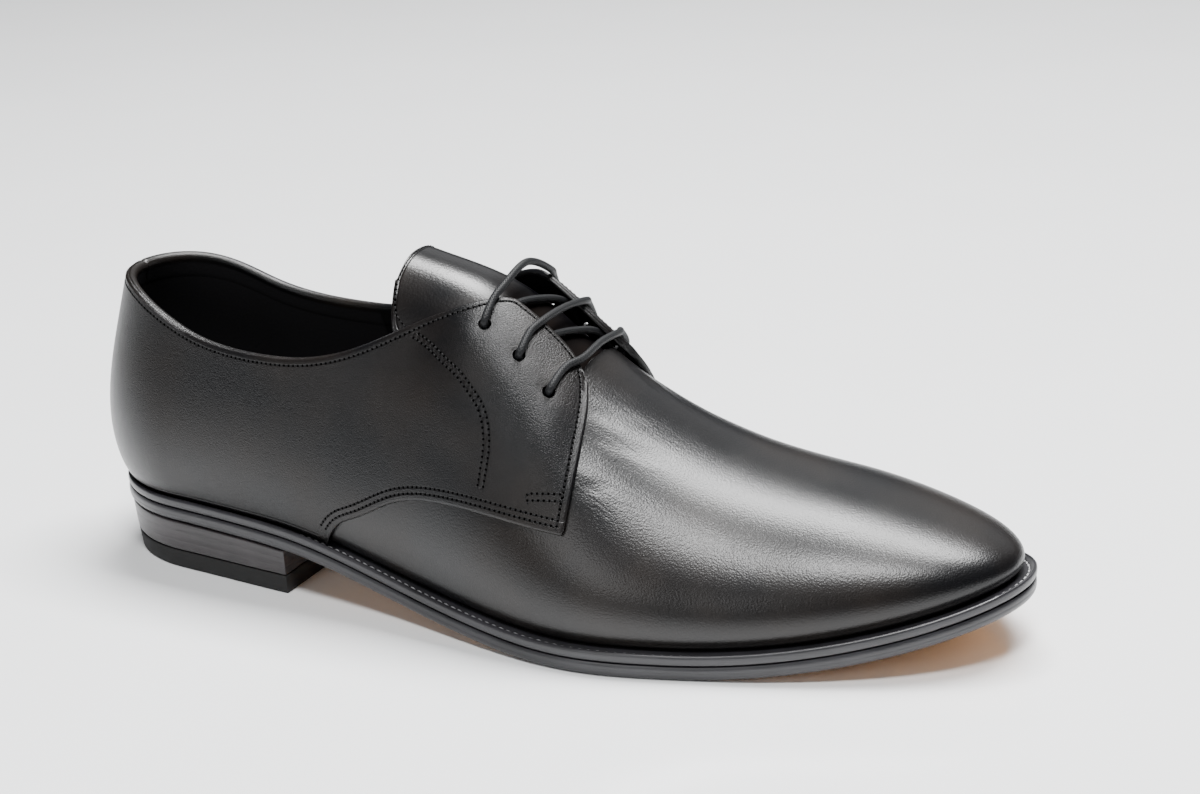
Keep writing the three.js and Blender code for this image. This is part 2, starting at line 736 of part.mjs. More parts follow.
// Insole: fills the welt and lies inside the wall
function insole() {
  const inside = (x) => weltMargin(x) + TUCK + WALL + 2 * GAP;
  const filling = () => WELT_WIDTH + GAP;
  return plate([
    [filling, weltUnder],
    [filling, feather],
    [inside, feather],
    [inside, (x) => feather(x) + INSOLE],
  ]);
}

// Slice of the heel between two heights, drawn in towards the floor
function heelSlice(low, high) {
  const breast = BREAST * LENGTH;
  const rings = [];
  for (let i = 0; i <= HEEL_STATIONS; i += 1) {
    const share = 1 - Math.cos((Math.PI / 2) * (i / HEEL_STATIONS));
    const rim = (side, height) => {
      const drawn = 1 - clamp(height(breast) / HEEL_HEIGHT);
      const inset = () => HEEL_STEP + HEEL_DRAW * drawn;
      const start = HEEL_STEP + HEEL_TAPER * drawn;
      const x = start + (breast - start) * share;
      const seat = inset() + (breast - inset()) * share;
      return new THREE.Vector3(x, swing(x) + side * halfWidth(side, seat, inset), height(x));
    };
    rings.push([rim(LATERAL, low), rim(LATERAL, high), rim(MEDIAL, high), rim(MEDIAL, low)]);
  }
  return loft(rings, { caps: true });
}

const topPiece = () => heelSlice(() => 0, () => TOP_PIECE);
const heelStack = () => heelSlice(() => TOP_PIECE + GAP, (x) => soleUnder(x) - GAP);

// Curve whose steps follow its points, so that bends get short steps
class RoutePath extends THREE.CatmullRomCurve3 {
  getPointAt(share, target) {
    return this.getPoint(share, target);
  }

  getTangentAt(share, target) {
    return this.getTangent(share, target);
  }
}

// Lace: one cord through all eyelets, bars outside and slanting strands inside
function lace() {
  const route = [];
  const rise = (QUARTER + LACE) / 2 + LACE_CLEAR;
  const sink = (QUARTER + LACE) / 2 + LACE_UNDER;
  const above = GAP + QUARTER / 2 + rise;
  const below = GAP + QUARTER / 2 - sink;
  // Point at a distance from the middle line
  const over = (side, x, distance, out) => {
    const angle = distance < 1 ? Math.PI / 2 : angleAt(side, x, distance, out);
    return lastPoint(side, x, angle, out, FACING_LIFT);
  };
  const stand = ({ place, normal }, away) => place.clone().addScaledVector(normal, away);
  // From an eyelet over the facing to its free edge
  const climb = (side, row) => {
    const away = eyeletAway(side, row);
    const x = row.at * LENGTH;
    return [(away + FACING_GAP) / 2, FACING_GAP].map((d) => over(side, x, d, above));
  };
  const bar = (number, from) => {
    const row = EYELETS[number];
    const [start, end] = [eyelets[from][number], eyelets[-from][number]];
    const [near, far] = [climb(from, row), climb(-from, row)];
    const middle = near[1].clone().add(far[1]).multiplyScalar(0.5);
    middle.z += BAR_RISE * row.rise;
    route.push(stand(start, -sink), start.place.clone(), stand(start, rise), ...near, middle);
    route.push(...far.reverse(), stand(end, rise), end.place.clone(), stand(end, -sink));
  };
  const slant = (fromRow, toRow, from) => {
    const [start, end] = [EYELETS[fromRow], EYELETS[toRow]];
    for (const share of [-0.55, 0, 0.55]) {
      const x = (start.at + ((end.at - start.at) * (share + 1)) / 2) * LENGTH;
      const side = share < 0 ? from : -from;
      const row = share < 0 ? start : end;
      route.push(over(side, x, Math.abs(share) * eyeletAway(side, row), below));
    }
  };
  // One hidden end runs up outside the lateral eyelets, the other stops at the top eyelet
  for (const row of EYELETS.slice(0, 2)) {
    const away = HIDDEN_RUN * eyeletAway(LATERAL, row);
    route.push(over(LATERAL, row.at * LENGTH, away, below - LACE_CLEAR));
  }
  bar(2, LATERAL);
  slant(2, 1, MEDIAL);
  bar(1, LATERAL);
  slant(1, 0, MEDIAL);
  bar(0, LATERAL);
  const path = new RoutePath(route, false, "centripetal");
  const section = new THREE.Shape();
  section.absarc(0, 0, LACE / 2, 0, 2 * Math.PI, false);
  return new THREE.ExtrudeGeometry(section, {
    steps: 2 * (route.length - 1),
    extrudePath: path,
    curveSegments: LACE_SIDES / 2,
    bevelEnabled: false,
  });
}

const FINISH = {
  calf: { color: 0x17171a, roughness: 0.32, metalness: 0 },
  lining: { color: 0x101012, roughness: 0.6, metalness: 0 },
  edge: { color: 0x1c1b1d, roughness: 0.45, metalness: 0 },
  soleLeather: { color: 0xb9824e, roughness: 0.6, metalness: 0 },
  stack: { color: 0x2b2524, roughness: 0.5, metalness: 0 },
  rubber: { color: 0x1b1a1a, roughness: 0.85, metalness: 0 },
  cord: { color: 0x232427, roughness: 0.7, metalness: 0 },
};

const PIECES = [
  ["outsole", outsole(), FINISH.soleLeather],
  ["welt", welt(), FINISH.edge],
  ["heel_stack", heelStack(), FINISH.stack],
  ["top_piece", topPiece(), FINISH.rubber],
  ["insole", insole(), FINISH.lining],
  ["upper", upper(), FINISH.calf],
  ["quarter_lateral", quarter(LATERAL), FINISH.calf],
  ["quarter_medial", quarter(MEDIAL), FINISH.calf],
  ["tongue", tongue(), FINISH.calf],
  ["laces", lace(), FINISH.cord],
];

const shoe = new THREE.Group();
for (const [name, geometry, finish] of PIECES) {
  const mesh = new THREE.Mesh(geometry, new THREE.MeshStandardMaterial(finish));
  mesh.name = name;
  shoe.add(mesh);
}

// The origin lies on the floor under the middle of the shoe
const extent = new THREE.Box3().setFromObject(shoe);
const middle = extent.getCenter(new THREE.Vector3());
shoe.position.set(-middle.x, -middle.y, 0);
shoe.updateMatrixWorld(true);

export default shoe;
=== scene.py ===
"""Plain-toe derby shoe in black calf for the right foot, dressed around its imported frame.

Lengths are in millimetres until a mesh is made. The shoe's own axes are x from the back of the
outsole to its toe, y to the inner (medial) side of the foot, and z up from the floor.
"""

import logging
import math
from dataclasses import dataclass
from enum import Enum
from typing import Callable, Sequence

import bmesh
import bpy
import numpy as np
from mathutils import Matrix, Vector
from mathutils.kdtree import KDTree


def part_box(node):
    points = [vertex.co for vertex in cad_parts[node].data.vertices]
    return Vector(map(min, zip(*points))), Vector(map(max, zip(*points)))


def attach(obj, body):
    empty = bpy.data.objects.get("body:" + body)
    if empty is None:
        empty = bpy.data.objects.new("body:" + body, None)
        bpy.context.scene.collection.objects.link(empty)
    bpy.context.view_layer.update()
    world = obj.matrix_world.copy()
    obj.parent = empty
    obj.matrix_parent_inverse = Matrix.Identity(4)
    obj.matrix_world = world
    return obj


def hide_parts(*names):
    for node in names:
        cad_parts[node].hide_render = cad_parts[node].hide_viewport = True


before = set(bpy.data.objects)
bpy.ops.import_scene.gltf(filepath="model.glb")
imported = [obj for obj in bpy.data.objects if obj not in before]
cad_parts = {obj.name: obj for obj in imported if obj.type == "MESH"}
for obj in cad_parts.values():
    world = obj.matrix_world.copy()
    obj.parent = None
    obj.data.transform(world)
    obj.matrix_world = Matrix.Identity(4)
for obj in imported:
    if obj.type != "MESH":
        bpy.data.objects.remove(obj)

LOG = logging.getLogger("derby")
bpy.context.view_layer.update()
MM = 0.001
BODY = "root"
RIGHT_ANGLE = math.pi / 2
SWELL_PEAK = 6.75  # s (1 - s)^2 times this peaks at 1, a third of the way up
STEP = 0.2  # mm, step for slopes along the last
TURN = 0.004  # radians, step for slopes round it
HALVINGS = 34  # of the search for an angle
PROUD = 0.03  # mm, rows of stitches lie this far over the leather

Array = np.ndarray
Along = Callable[[Array], Array]
Rows = tuple[tuple[float, float], ...]
Material = bpy.types.Material
Object = bpy.types.Object
Socket = bpy.types.NodeSocket


class Side(Enum):
    """Side of the foot; the value is the sign of y."""

    LATERAL = -1
    MEDIAL = 1


# Half width of the throat under the facings, which the tongue fills
THROAT_HALF = {Side.LATERAL: 32.0, Side.MEDIAL: 24.0}


class Slot(Enum):
    """Material slots of the record."""

    UPPER = "upper_leather"
    SOLE = "sole_leather"
    EDGE = "edge_leather"
    STACK = "stacked_leather"
    INSOLE = "insole_leather"
    RUBBER = "heel_rubber"
    LACE = "lace_cord"


def columns(names: Sequence[str], *rows: Sequence[float]) -> dict[str, Array]:
    """Turns the rows of a table into named columns.

    Args:
        names: the column names.
        rows: one row for each section.

    Returns:
        One array for each column.
    """
    return dict(zip(names, np.array(rows, float).T))


# Outline: shares of the ball width from the middle line, and the line's swing to the inner side
PLAN = columns(
    ("at", "lateral", "medial", "swing"),
    (0.0, 0.275, 0.275, 0.0),
    (0.11, 0.306, 0.306, 0.0),
    (0.25, 0.358, 0.312, 0.0),
    (0.4, 0.412, 0.285, 0.0),
    (0.52, 0.498, 0.325, 0.003),
    (0.62, 0.543, 0.39, 0.016),
    (0.72, 0.512, 0.44, 0.045),
    (0.84, 0.452, 0.44, 0.072),
    (1.0, 0.37, 0.37, 0.06),
)

# Underside of the outsole behind the tread: share of the heel height
ARCH = columns(
    ("at", "rise"),
    (0.0, 1.0), (0.1, 0.985), (0.2, 0.94), (0.26, 0.87), (0.32, 0.68), (0.38, 0.43), (0.44, 0.23),
    (0.5, 0.1), (0.56, 0.02), (0.6, 0.0),
)

# Welt that shows: share of the margin at the toe
MARGIN = columns(
    ("at", "share"),
    (0.0, 0.59), (0.25, 0.7), (0.5, 0.86), (0.65, 0.9), (0.85, 0.98), (1.0, 1.0),
)

# Ridge of the last over the welt: share of the instep height
RIDGE = columns(
    ("at", "height"),
    (0.0, 0.93), (0.15, 0.97), (0.28, 1.0), (0.38, 1.0), (0.44, 0.99), (0.48, 0.955), (0.52, 0.875),
    (0.56, 0.765), (0.6, 0.665), (0.7, 0.49), (0.8, 0.383), (0.9, 0.29), (1.0, 0.21),
)

# Sections of the last: the exponent of the arc on each side, the ridge's shift to the inner side
# as a share of the ball width, the swell of each side as a share of the side bulge and its height
# as a share of the bulge height
SECTIONS = columns(
    ("at", "outer", "inner", "ridge", "bulge_out", "bulge_in", "rise"),
    (0.0, 3.2, 3.2, 0.0, 1.1, 1.1, 1.1),
    (0.15, 3.0, 3.0, 0.0, 0.9, 1.0, 1.0),
    (0.35, 2.4, 2.7, 0.0, 0.5, 1.6, 0.95),
    (0.5, 2.15, 2.5, -0.01, 0.4, 1.5, 0.8),
    (0.7, 2.1, 2.2, 0.02, 0.5, 0.7, 0.6),
    (0.85, 2.3, 2.3, 0.015, 0.5, 0.5, 0.5),
    (1.0, 2.4, 2.4, 0.0, 0.5, 0.5, 0.5),
)

# Topline of the collar, heel back to facing top: share of the back height over the welt
TOPLINE = columns(
    ("at", "height"),
    (-0.1, 1.0), (0.0, 1.0), (0.06, 0.97), (0.1, 0.905), (0.14, 0.835), (0.18, 0.797),
    (0.23, 0.787), (0.28, 0.815), (0.34, 0.925), (0.4, 1.1), (0.45, 1.235), (0.48, 1.29),
    (0.5, 1.31),
)

# Lower edge of the quarter: share of the back height over the welt
QUARTER_EDGE = columns(
    ("at", "height"),
    (0.295, -0.2), (0.31, 0.0), (0.35, 0.215), (0.4, 0.375), (0.45, 0.455), (0.5, 0.48),
    (0.56, 0.475), (0.61, 0.455),
)

# Free edge of the facing seen from above: shares of the facing gap from the middle line
FACING_EDGE = columns(
    ("at", "out"),
    (0.435, 1.28), (0.455, 1.14), (0.475, 1.05), (0.5, 1.01), (0.53, 0.96), (0.555, 1.0),
    (0.572, 1.25), (0.583, 1.75), (0.59, 2.5), (0.593, 3.4), (0.59, 5.0),
)

# Tongue: half of its width as a share of the opening over it
TONGUE_WIDTH = columns(
    ("at", "half"),
    (0.372, 0.48), (0.376, 0.635), (0.384, 0.74), (0.4, 0.79), (0.46, 0.77), (0.53, 0.71),
    (0.6, 0.6),
)

# Eyelets, top to bottom: distance to the outer and the inner facing's edge as shares of the
# eyelet edge, and the arch of the lace bar as a share of the bar rise
EYELETS = columns(
    ("at", "outer", "inner", "rise"),
    (0.485, 1.12, 1.0, 5.0),
    (0.522, 1.3, 1.0, 1.0),
    (0.555, 1.59, 1.0, 1.0),
)


class Spline:
    """Natural cubic spline through one column of a table, straight beyond its ends."""

    def __init__(self, x: Array, y: Array) -> None:
        """Solves the spline's second derivatives.

        Args:
            x: places, rising.
            y: values there.
        """
        self.x = np.asarray(x, float)
        self.y = np.asarray(y, float)
        self.bend = np.zeros(len(self.x))
        step = np.diff(self.x)
        slope = np.diff(self.y) / step
        if len(self.x) > 2:
            matrix = np.diag(2 * (step[:-1] + step[1:]))
            matrix += np.diag(step[1:-1], 1) + np.diag(step[1:-1], -1)
            self.bend[1:-1] = np.linalg.solve(matrix, 6 * np.diff(slope))
        self.first = slope[0] - step[0] * (2 * self.bend[0] + self.bend[1]) / 6
        self.final = slope[-1] + step[-1] * (self.bend[-2] + 2 * self.bend[-1]) / 6

    def __call__(self, x: Array) -> Array:
        """Value of the spline at x."""
        x = np.asarray(x, float)
        i = np.clip(np.searchsorted(self.x, x) - 1, 0, len(self.x) - 2)
        inside = np.clip(x, self.x[0], self.x[-1])
        step = self.x[i + 1] - self.x[i]
        a = self.x[i + 1] - inside
        b = inside - self.x[i]
        cubic = (self.bend[i] * a**3 + self.bend[i + 1] * b**3) / (6 * step)
        left = (self.y[i] / step - self.bend[i] * step / 6) * a
        right = (self.y[i + 1] / step - self.bend[i + 1] * step / 6) * b
        low = self.first * np.minimum(x - self.x[0], 0)
        high = self.final * np.maximum(x - self.x[-1], 0)
        return cubic + left + right + low + high


def smooth(start: float, end: float, x: Array) -> Array:
    """Smooth step from 0 at start to 1 at end."""
    t = np.clip((x - start) / (end - start), 0, 1)
    return t * t * (3 - 2 * t)


def catmull_rom(points: Array, steps: int) -> Array:
    """Smooth curve through points.

    Args:
        points: rows of coordinates.
        steps: pieces of each stretch between two points.

    Returns:
        The curve's points, the given ones among them.
    """
    padded = np.vstack([2 * points[0] - points[1], points, 2 * points[-1] - points[-2]])
    t = (np.arange(steps) / steps)[:, None]
    rows = []
    for i in range(len(points) - 1):
        a, b, c, d = padded[i : i + 4]
        rows.append(
            0.5 * (2 * b + (c - a) * t + (2 * a - 5 * b + 4 * c - d) * t**2
                   + (3 * b - a - 3 * c + d) * t**3)
        )
    return np.vstack([*rows, points[-1:]])


def unit(vectors: Array) -> Array:
    """Vectors of length one."""
    return vectors / np.maximum(np.linalg.norm(vectors, axis=-1, keepdims=True), 1e-12)


@dataclass
class Last:
    """Form of the last with the sole under it; every size is in millimetres."""

    length: float
    ball_width: float = 104.0
    heel_height: float = 17.0
    toe_spring: float = 17.0
    instep_height: float = 94.0
    back_height: float = 70.0
    outsole: float = 4.4
    welt: float = 2.4
    gap: float = 0.3
    welt_margin: float = 4.4
    side_bulge: float = 4.0
    bulge_height: float = 20.0
    tuck: float = 1.5
    tuck_height: float = 1.6
    facing_gap: float = 13.0
    facing_lift: float = 2.6
    heel_round: float = 0.115
    toe_round: float = 0.72
    toe_dome: float = 0.8
    flat_end: float = 0.7
    fan_centre: float = 0.13
    fan_softness: float = 0.026
    seam_zone: float = 0.12
    end_zone: float = 0.2
    heel_curve: float = 2.2
    toe_curve: float = 2.5
    dome_curve: float = 2.2
    spring_curve: float = 1.9
    ridge_fade: float = 6.0
    free_length: tuple[float, float, float, float] = (0.41, 0.48, 0.56, 0.6)
    free_angle: tuple[float, float] = (0.45, 1.0)

    def __post_init__(self) -> None:
        """Makes the splines of the tables."""
        width = self.ball_width
        self.half = {
            Side.LATERAL: self.along(PLAN, "lateral", width),
            Side.MEDIAL: self.along(PLAN, "medial", width),
        }
        self.swing = self.along(PLAN, "swing", width)
        self.arch = self.along(ARCH, "rise", self.heel_height)
        self.margin = self.along(MARGIN, "share", self.welt_margin)
        self.ridge = self.along(RIDGE, "height", self.instep_height)
        self.ridge_shift = self.along(SECTIONS, "ridge", width)
        self.fullness = {
            Side.LATERAL: self.along(SECTIONS, "outer"),
            Side.MEDIAL: self.along(SECTIONS, "inner"),
        }
        self.bulge = {
            Side.LATERAL: self.along(SECTIONS, "bulge_out", self.side_bulge),
            Side.MEDIAL: self.along(SECTIONS, "bulge_in", self.side_bulge),
        }
        self.bulge_rise = self.along(SECTIONS, "rise", self.bulge_height)
        self.topline = self.along(TOPLINE, "height", self.back_height)
        self.quarter_edge = self.along(QUARTER_EDGE, "height", self.back_height)

    def along(self, table: dict[str, Array], name: str, scale: float = 1.0) -> Spline:
        """Spline of one column over the shoe's length."""
        return Spline(table["at"] * self.length, table[name] * scale)

    def under(self, x: Array) -> Array:
        """Underside of the outsole over the floor."""
        share = np.asarray(x, float) / self.length
        heel = np.maximum(0, self.arch(x))
        spring = np.clip((share - self.flat_end) / (1 - self.flat_end), 0, None)
        toe = self.toe_spring * spring**self.spring_curve
        return np.where(share < ARCH["at"][-1], heel, toe)

    def welt_under(self, x: Array) -> Array:
        """Underside of the welt."""
        return self.under(x) + self.outsole + self.gap

    def feather(self, x: Array) -> Array:
        """Lower edge of the upper, just over the welt."""
        return self.welt_under(x) + self.welt + self.gap

    def ends(self, inset: Along) -> tuple[Array, Array]:
        """Back and front of an outline that lies inset(x) inside the sole's edge."""
        return inset(np.float64(0)), self.length - inset(np.float64(self.length))

    def half_width(self, side: Side, x: Array, inset: Along) -> Array:
        """Half width from the middle line, with round heel and toe."""
        back, front = self.ends(inset)
        toe_start = self.toe_round * self.length
        heel_end = self.heel_round * self.length
        toe = np.clip((x - toe_start) / (front - toe_start), 0, 1)
        heel = np.clip((heel_end - x) / (heel_end - back), 0, 1)
        round_toe = np.sqrt(np.maximum(0, 1 - toe**self.toe_curve))
        round_heel = np.sqrt(np.maximum(0, 1 - heel**self.heel_curve))
        return (self.half[side](x) - inset(x)) * round_toe * round_heel

    def edge(self, side: Side, x: Array, inset: Along) -> Array:
        """The outline's y on one side."""
        return self.swing(x) + side.value * self.half_width(side, x, inset)

    def outward(self, side: Side, x: Array, inset: Along) -> tuple[Array, Array]:
        """Outward direction of the outline in plan, with y counted away from the middle."""
        back, front = self.ends(inset)
        step = np.minimum(np.minimum((x - back) / 2, (front - x) / 2), self.length / 1000)
        safe = np.maximum(step, 1e-9)
        across = self.edge(side, x + safe, inset) - self.edge(side, x - safe, inset)
        nx = -side.value * across
        ny = 2 * safe
        size = np.hypot(nx, ny)
        at_back = x <= back + 1e-7
        at_front = x >= front - 1e-7
        nx = np.where(at_back, -1, np.where(at_front, 1, nx / size))
        ny = np.where(at_back | at_front, 0, ny / size)
        return nx, ny

    def middle(self, x: Array) -> Array:
        """Middle line of the upper."""
        return self.swing(x) + self.ridge_shift(x)

    def lift_share(self, x: Array, angle: Array) -> Array:
        """Where the facings stand off the tongue, 0 to 1."""
        share = x / self.length
        start, full, close, end = self.free_length
        lengthwise = smooth(start, full, share) * (1 - smooth(close, end, share))
        return lengthwise * smooth(*self.free_angle, angle)

    def sided(self, pair: dict[Side, Spline], side: Side, x: Array, apart: Array) -> Array:
        """A value of one side, drawn to the mean of both where apart falls to 0."""
        mean = (pair[Side.LATERAL](x) + pair[Side.MEDIAL](x)) / 2
        return mean + (pair[side](x) - mean) * apart

    def place(self, base: Array, inset: Along) -> Array:
        """Place along an outline that belongs to base, which runs over the full length."""
        back, front = self.ends(inset)
        zone = self.end_zone * self.length
        from_back = np.clip(1 - base / zone, 0, None) ** 2
        from_front = np.clip(1 - (self.length - base) / zone, 0, None) ** 2
        return base + back * from_back - (self.length - front) * from_front

    def skin(self, side: Side, base: Array, angle: Array, out: Array, lift: float = 0.0) -> Array:
        """Points of the last's surface pushed out by a distance.

        Args:
            side: side of the foot.
            base: section, from 0 at the heel's back to the length at the toe.
            angle: 0 at the welt, a right angle on the ridge.
            out: distance outside the last's surface.
            lift: how far the facings stand off.

        Returns:
            Points, with x, y and z last.
        """
        base, angle, out = np.broadcast_arrays(
            np.asarray(base, float), np.asarray(angle, float), np.asarray(out, float)
        )

        def inset(t: Array) -> Array:
            """Inset of the pushed surface at t."""
            return self.margin(t) - out

        x = self.place(base, inset)
        back, front = self.ends(inset)
        nx, ny = self.outward(side, x, inset)
        other = Side(-side.value)
        opposite, _ = self.outward(other, x, inset)
        centre = self.fan_centre * self.length
        soft = self.fan_softness * self.length
        spine = centre + soft * np.logaddexp(0, (x - centre) / soft)
        shift_fade = np.sqrt(np.clip((front - spine) / (self.end_zone * self.length), 0, 1))
        spine_y = self.swing(spine) + self.ridge_shift(spine) * shift_fade
        zone = self.seam_zone * self.length
        apart = smooth(0, zone, x - back) * (1 - smooth(-zone, 0, x - front))
        power = self.sided(self.fullness, side, spine, apart)
        cos = np.clip(np.cos(angle), 0, 1)
        sin = np.clip(np.sin(angle), 0, 1)
        radius = (cos**power + sin**power) ** (-1 / power)
        across = cos * radius
        up = sin * radius
        dome_start = self.toe_dome * self.length
        fall = np.clip((spine - dome_start) / (front - dome_start), 0, 1)
        dome = np.maximum(0, 1 - fall**self.dome_curve) ** (1 / self.dome_curve)
        ridge = self.feather(spine) + (self.ridge(spine) + out) * dome
        low = self.feather(x)
        height = (ridge - low) * up
        swell = np.clip(height / (3 * self.bulge_rise(x)), 0, 1)
        fade = 1 - up**self.ridge_fade
        bulge = self.sided(self.bulge, side, x, apart * fade) * swell * (1 - swell) ** 2
        tuck = self.tuck * np.exp(-np.maximum(0, height) / self.tuck_height)
        push = SWELL_PEAK * bulge - tuck
        push_x = nx * fade + (nx + opposite) / 2 * (1 - fade)
        edge_y = self.edge(side, x, inset)
        raised = lift * self.lift_share(x, angle)
        return np.stack(
            [
                spine + (x - spine) * across + push_x * push,
                spine_y + (edge_y - spine_y) * across
                + side.value * (ny * fade * push + raised * across),
                low + height + raised * up,
            ],
            axis=-1,
        )

    def frame(
        self, side: Side, base: Array, angle: Array, out: float, lift: float = 0.0
    ) -> tuple[Array, Array, Array]:
        """Directions of a skin at points.

        Args:
            side: side of the foot.
            base: sections.
            angle: angles.
            out: distance outside the last.
            lift: how far the facings stand off.

        Returns:
            Change per millimetre of base, change per radian, and the outward unit normal.
        """
        ahead = self.skin(side, base + STEP, angle, out, lift)
        along = (ahead - self.skin(side, base - STEP, angle, out, lift)) / (2 * STEP)
        high = np.minimum(angle + TURN, RIGHT_ANGLE)
        low = np.maximum(angle - TURN, 0)
        upward = self.skin(side, base, high, out, lift) - self.skin(side, base, low, out, lift)
        upward = upward / (high - low)[..., None]
        return along, upward, unit(np.cross(along, upward) * -side.value)

    def inside(
        self, side: Side, base: Array, angle: Array, distance: float, out: float, lift: float = 0.0
    ) -> tuple[Array, Array]:
        """Moves a path on a skin sideways, to the left of its run seen from outside.

        Args:
            side: side of the foot.
            base: sections of the path.
            angle: angles of the path.
            distance: how far, in millimetres.
            out: distance outside the last.
            lift: how far the facings stand off.

        Returns:
            The sections and angles of the moved path.
        """
        steps = max(1, round(abs(distance)))
        for _ in range(steps):
            along, upward, normal = self.frame(side, base, angle, out, lift)
            run = np.gradient(self.skin(side, base, angle, out, lift), axis=0)
            move = unit(np.cross(normal, run)) * distance / steps
            aa = np.sum(along * along, axis=-1)
            au = np.sum(along * upward, axis=-1)
            uu = np.sum(upward * upward, axis=-1)
            am = np.sum(along * move, axis=-1)
            um = np.sum(upward * move, axis=-1)
            det = aa * uu - au * au
            base = base + (am * uu - um * au) / det
            angle = np.clip(angle + (um * aa - am * au) / det, 0, RIGHT_ANGLE)
        return base, angle

    def layer(
        self, side: Side, base: Array, inset: Array, height: Array, under: Along
    ) -> Array:
        """Side of a layer of the sole.

        Args:
            side: side of the foot.
            base: sections.
            inset: how far each row of the profile lies inside the sole's edge.
            height: height of each row over the layer's underside.
            under: the underside.

        Returns:
            Points, sections by rows.
        """
        rows = np.asarray(inset, float)[None, :]

        def outline(t: Array) -> Array:
            """Inset of each row, the same all along."""
            return rows + 0 * t

        x = self.place(base[:, None], outline)
        y = self.edge(side, x, outline)
        return np.stack([x, y, under(x) + np.asarray(height, float)[None, :]], axis=-1)

    def solve_angle(self, test: Along, shape: tuple[int, ...]) -> Array:
        """Angles at which a rising test crosses zero.

        Args:
            test: takes angles and gives values that rise with them.
            shape: shape of the result.

        Returns:
            The angles, 0 or a right angle where the test doesn't cross.
        """
        low = np.zeros(shape)
        high = np.full(shape, RIGHT_ANGLE)
        for _ in range(HALVINGS):
            middle = (low + high) / 2
            beyond = test(middle) > 0
            high = np.where(beyond, middle, high)
            low = np.where(beyond, low, middle)
        return (low + high) / 2

    def angle_away(
        self, side: Side, base: Array, distance: Array, out: float, lift: float = 0.0
    ) -> Array:
        """Angles at which the section stands a distance away from its middle line."""
        base, distance = np.broadcast_arrays(
            np.asarray(base, float), np.asarray(distance, float)
        )

        def test(angle: Array) -> Array:
            """How far the surface has come in past the distance."""
            y = self.skin(side, base, angle, out, lift)[..., 1]
            return distance - side.value * (y - self.middle(base))

        return self.solve_angle(test, base.shape)

    def angle_over(
        self, side: Side, base: Array, height: Along, out: float, lift: float = 0.0
    ) -> Array:
        """Angles at which the surface reaches height(x) over the feather edge."""
        base = np.asarray(base, float)

        def test(angle: Array) -> Array:
            """How far the surface stands over the height."""
            point = self.skin(side, base, angle, out, lift)
            return point[..., 2] - self.feather(point[..., 0]) - height(point[..., 0])

        return self.solve_angle(test, base.shape)


class Placing:
    """Turns the shoe's own millimetres into the frame's metres."""

    def __init__(self, last: Last, low: Vector) -> None:
        """Finds the shift from the outsole's box.

        Args:
            last: the last.
            low: lowest corner of the outsole's node, in metres.
        """
        x = np.linspace(0, last.length, 400)[1:-1]
        edge = last.edge(Side.LATERAL, x, lambda t: np.zeros_like(t))
        self.shift = np.array([low.x / MM, low.y / MM - edge.min(), 0.0])

    def __call__(self, points: Array) -> Array:
        """Points in the frame's metres."""
        return (np.asarray(points, float) + self.shift) * MM

    def back(self, points: Array) -> Array:
        """Points of the frame in the shoe's own millimetres."""
        return np.asarray(points, float) / MM - self.shift


